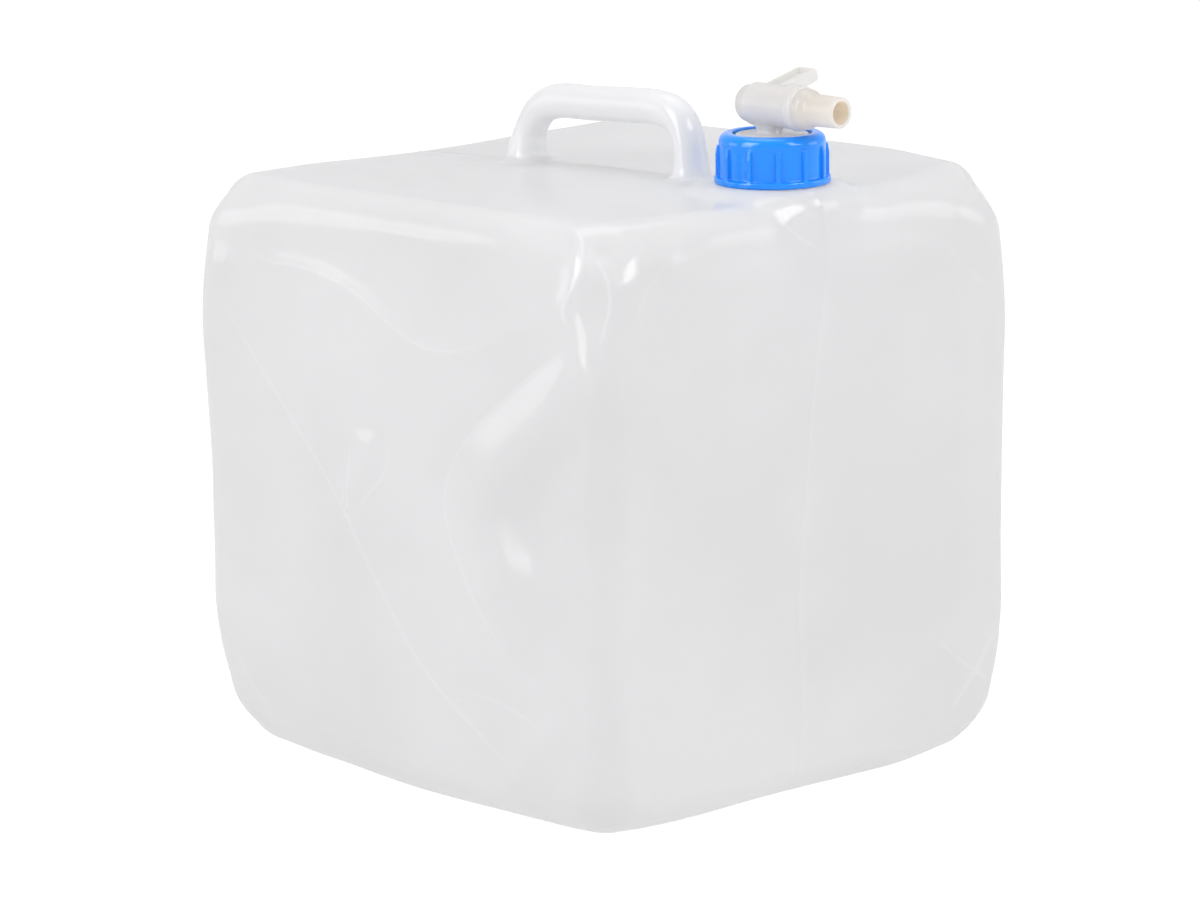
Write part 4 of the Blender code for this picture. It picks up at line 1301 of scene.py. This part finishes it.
def make_camera():
    data = bpy.data.cameras.new("camera")
    data.lens = CAMERA_LENS
    data.sensor_width = CAMERA_SENSOR
    data.clip_end = CAMERA_REACH
    made = in_scene(bpy.data.objects.new("camera", data))
    back = Vector((
        math.sin(CAMERA_AZIMUTH) * math.cos(CAMERA_ELEVATION),
        -math.cos(CAMERA_AZIMUTH) * math.cos(CAMERA_ELEVATION),
        math.sin(CAMERA_ELEVATION),
    ))
    made.location = CAMERA_TARGET + back * CAMERA_DISTANCE
    made.rotation_euler = back.to_track_quat("Z", "Y").to_euler()
    bpy.context.scene.camera = made


def make_lights():
    aim = Vector((0, 0, TOP / 2))
    for name, place, width, height, brightness in SOFT_BOXES + GLINTS:
        light = bpy.data.lights.new(name, "AREA")
        light.shape = "RECTANGLE"
        light.size = width
        light.size_y = height
        light.energy = brightness * math.pi * width * height
        made = in_scene(bpy.data.objects.new(name, light))
        made.location = place
        made.rotation_euler = (Vector(place) - aim).to_track_quat("Z", "Y").to_euler()
    for name, *_ in GLINTS:
        bpy.data.objects[name].visible_diffuse = False
        bpy.data.objects[name].visible_transmission = False


def feed(tree, socket, value):
    """Link an output to a socket, or set it to a value."""
    if isinstance(value, bpy.types.NodeSocket):
        tree.links.new(value, socket)
    else:
        socket.default_value = value


def fill(tree, made, **sockets):
    """Feed a node's inputs by their names, with _ for a space."""
    for name, value in sockets.items():
        feed(tree, made.inputs[name.replace("_", " ")], value)
    return made


def node(tree, kind, **sockets):
    return fill(tree, tree.nodes.new("ShaderNode" + kind), **sockets)


def mixed(tree, share, first, second, output):
    """Two shaders mixed, with this share of the second, as what an output node shows."""
    mix = node(tree, "MixShader", Fac=share)
    tree.links.new(first.outputs[0], mix.inputs[1])
    tree.links.new(second.outputs[0], mix.inputs[2])
    tree.links.new(mix.outputs["Shader"], output.inputs["Surface"])


def make_world():
    """White all round: what the camera sees behind the object is pure white."""
    world = bpy.data.worlds.new("studio")
    bpy.context.scene.world = world
    world.use_nodes = True
    tree = world.node_tree
    tree.nodes.clear()
    lit = node(tree, "Background", Color=WORLD_COLOUR, Strength=WORLD_STRENGTH)
    seen = node(tree, "Background", Color=WHITE, Strength=SEEN_STRENGTH)
    from_camera = node(tree, "LightPath").outputs["Is Camera Ray"]
    mixed(tree, from_camera, lit, seen, node(tree, "OutputWorld"))


def principled(name, **sockets):
    """A new material, its nodes, and its shader with these inputs."""
    material = bpy.data.materials.new(name)
    material.use_nodes = True
    tree = material.node_tree
    return material, tree, fill(tree, tree.nodes["Principled BSDF"], **sockets)


def noise_of(tree, scale, detail, stretch=(1, 1, 1)):
    """Unevenness over the surface, from 0 to 1, stretched along an axis where that is below 1."""
    place = node(tree, "TexCoord").outputs["Object"]
    vector = node(tree, "Mapping", Vector=place, Scale=stretch).outputs["Vector"]
    return node(tree, "TexNoise", Vector=vector, Scale=scale, Detail=detail).outputs["Fac"]


def ranged(tree, value, start, end, low, high):
    """A value taken from one range to another, smoothly, and kept in it."""
    made = node(tree, "MapRange", Value=value, From_Min=start, From_Max=end, To_Min=low, To_Max=high)
    made.interpolation_type = "SMOOTHSTEP"
    return made.outputs["Result"]


def clouds_of(tree, noise, spread, stretch=(1, 1, 1)):
    """A value that varies over the surface within a range."""
    scale, detail, start, end = noise
    return ranged(tree, noise_of(tree, scale, detail, stretch), start, end, *spread)


def math_of(tree, operation, *values):
    made = node(tree, "Math")
    made.operation = operation
    for socket, value in zip(made.inputs, values):
        feed(tree, socket, value)
    return made.outputs["Value"]


def bump_of(tree, height, distance, **normal):
    return node(tree, "Bump", Height=height, Distance=distance, **normal).outputs["Normal"]


def attribute(tree, name):
    made = node(tree, "Attribute")
    made.attribute_name = name
    return made.outputs["Fac"]


def shade_between(tree, fac, shades):
    """A colour between two, by a value from 0 to 1."""
    ramp = node(tree, "ValToRGB", Fac=fac)
    for element, shade in zip(ramp.color_ramp.elements, shades):
        element.color = (*shade, 1)
    return ramp.outputs["Color"]


def moulded(name, uneven, **sockets):
    """A material of a moulded piece: its gloss and its height vary a little. Gives its noise too."""
    material, tree, shader = principled(name, **sockets)
    scale, gloss, height = uneven
    noise = noise_of(tree, scale, MOULD_DETAIL)
    roughness = ranged(tree, noise, *MOULD_RANGE, *gloss)
    fill(tree, shader, Roughness=roughness, Normal=bump_of(tree, noise, height))
    return material, tree, shader, noise


def through_light(tree, shader, colour, share):
    """Let a share of the light through a thin plastic wall."""
    through = node(tree, "BsdfTranslucent", Color=(*colour, 1))
    mixed(tree, share, shader, through, tree.nodes["Material Output"])


def film_material():
    """Milky film: cloudy, glossy in patches, gently wavy, with painted highlight along its sharp
    creases and painted light on its carrying loop.
    """
    material, tree, shader = principled("milky_film", IOR=FILM_IOR, Specular_IOR_Level=FILM_SPECULAR)
    # A painted highlight along the sharp creases, which also drives their bump
    away = math_of(tree, "ABSOLUTE", attribute(tree, "crease_away"))
    line = ranged(tree, away, 0.0, CREASE_HALF_WIDTH, 1.0, 0.0)
    line = math_of(tree, "MULTIPLY", line, attribute(tree, "crease_strength"))
    clouds = clouds_of(tree, FILM_CLOUDS, FILM_CLOUDINESS)
    whiteness = math_of(tree, "ADD", clouds, math_of(tree, "MULTIPLY", line, CREASE_PAINTED_HIGHLIGHT))
    # Painted light on the carrying loop
    whiteness = math_of(tree, "ADD", whiteness, attribute(tree, "loop_white_and_painted_light"))
    wavy = bump_of(tree, noise_of(tree, *FILM_WAVES), FILM_WAVE_HEIGHT)
    grain = bump_of(tree, noise_of(tree, *FILM_GRAIN), FILM_GRAIN_HEIGHT, Normal=wavy)
    colour = shade_between(tree, whiteness, FILM_SHADES)
    gloss = clouds_of(tree, FILM_PATCHES, FILM_GLOSS, FILM_PATCH_STRETCH)
    creased = bump_of(tree, line, CREASE_HEIGHT, Normal=grain)
    fill(tree, shader, Base_Color=colour, Roughness=gloss, Normal=creased)
    through_light(tree, shader, *FILM_THROUGH)
    return material


def cap_material():
    material, tree, shader, noise = moulded("cap_blue", CAP_UNEVEN, Specular_IOR_Level=CAP_SPECULAR)
    fill(tree, shader, Base_Color=shade_between(tree, noise, CAP_SHADES))
    return material


def seal_material():
    material, tree, shader, noise = moulded("seal_rubber", SEAL_UNEVEN)
    fill(tree, shader, Base_Color=shade_between(tree, noise, SEAL_SHADES))
    return material


def cloudy_painted_light(tree):
    """How much painted light a place of the tap or the plug gets where it faces down, with faint
    clouds.
    """
    clouds = clouds_of(tree, TAP_CLOUDS, TAP_CLOUDINESS)
    return math_of(tree, "ADD", clouds, attribute(tree, "under"))


def tap_material():
    material, tree, shader, _ = moulded("tap_natural", TAP_UNEVEN, Specular_IOR_Level=TAP_SPECULAR)
    # Painted light where the tap faces down and where the barrel hides it from the light
    under = math_of(tree, "ADD", cloudy_painted_light(tree), attribute(tree, "low"))
    fill(tree, shader, Base_Color=shade_between(tree, under, TAP_LIT_AND_PAINTED_LIGHT_SHADES))
    through_light(tree, shader, *TAP_THROUGH)
    return material


def plug_material():
    material, tree, shader, _ = moulded("plug_ivory", PLUG_UNEVEN, Specular_IOR_Level=TAP_SPECULAR)
    mix = node(tree, "Mix")
    mix.data_type = "RGBA"
    # Painted light where the plug faces down
    colour = shade_between(tree, cloudy_painted_light(tree), PLUG_LIT_AND_PAINTED_LIGHT_SHADES)
    fill(tree, mix, Factor=attribute(tree, "bore"), A=colour, B=PLUG_BORE_PAINTED_TINT)
    fill(tree, shader, Base_Color=mix.outputs["Result"])
    through_light(tree, shader, *PLUG_THROUGH)
    return material


def floor_material():
    """A matt white floor that is also a little bright by itself, as in a studio."""
    material, tree, shader = principled(
        "white_floor", Base_Color=FLOOR_COLOUR, Roughness=FLOOR_ROUGHNESS, Specular_IOR_Level=0.0
    )
    glow = node(tree, "Emission", Color=WHITE, Strength=FLOOR_GLOW)
    mixed(tree, FLOOR_GLOW_SHARE, shader, glow, tree.nodes["Material Output"])
    return material


def make_floor():
    mesh = bpy.data.meshes.new("floor")
    corners = [(x * FLOOR_REACH, y * FLOOR_REACH, 0) for x, y in ((-1, -1), (1, -1), (1, 1), (-1, 1))]
    mesh.from_pydata(corners, [], [(0, 1, 2, 3)])
    mesh.materials.append(floor_material())
    floor = in_scene(bpy.data.objects.new("floor", mesh))
    floor.location.z = FLOOR_HEIGHT


make_film()
make_cap()
make_seal()
make_tap()
make_plug()
make_camera()
make_world()
make_lights()
make_floor()
bpy.context.scene.view_settings.view_transform = "Standard"
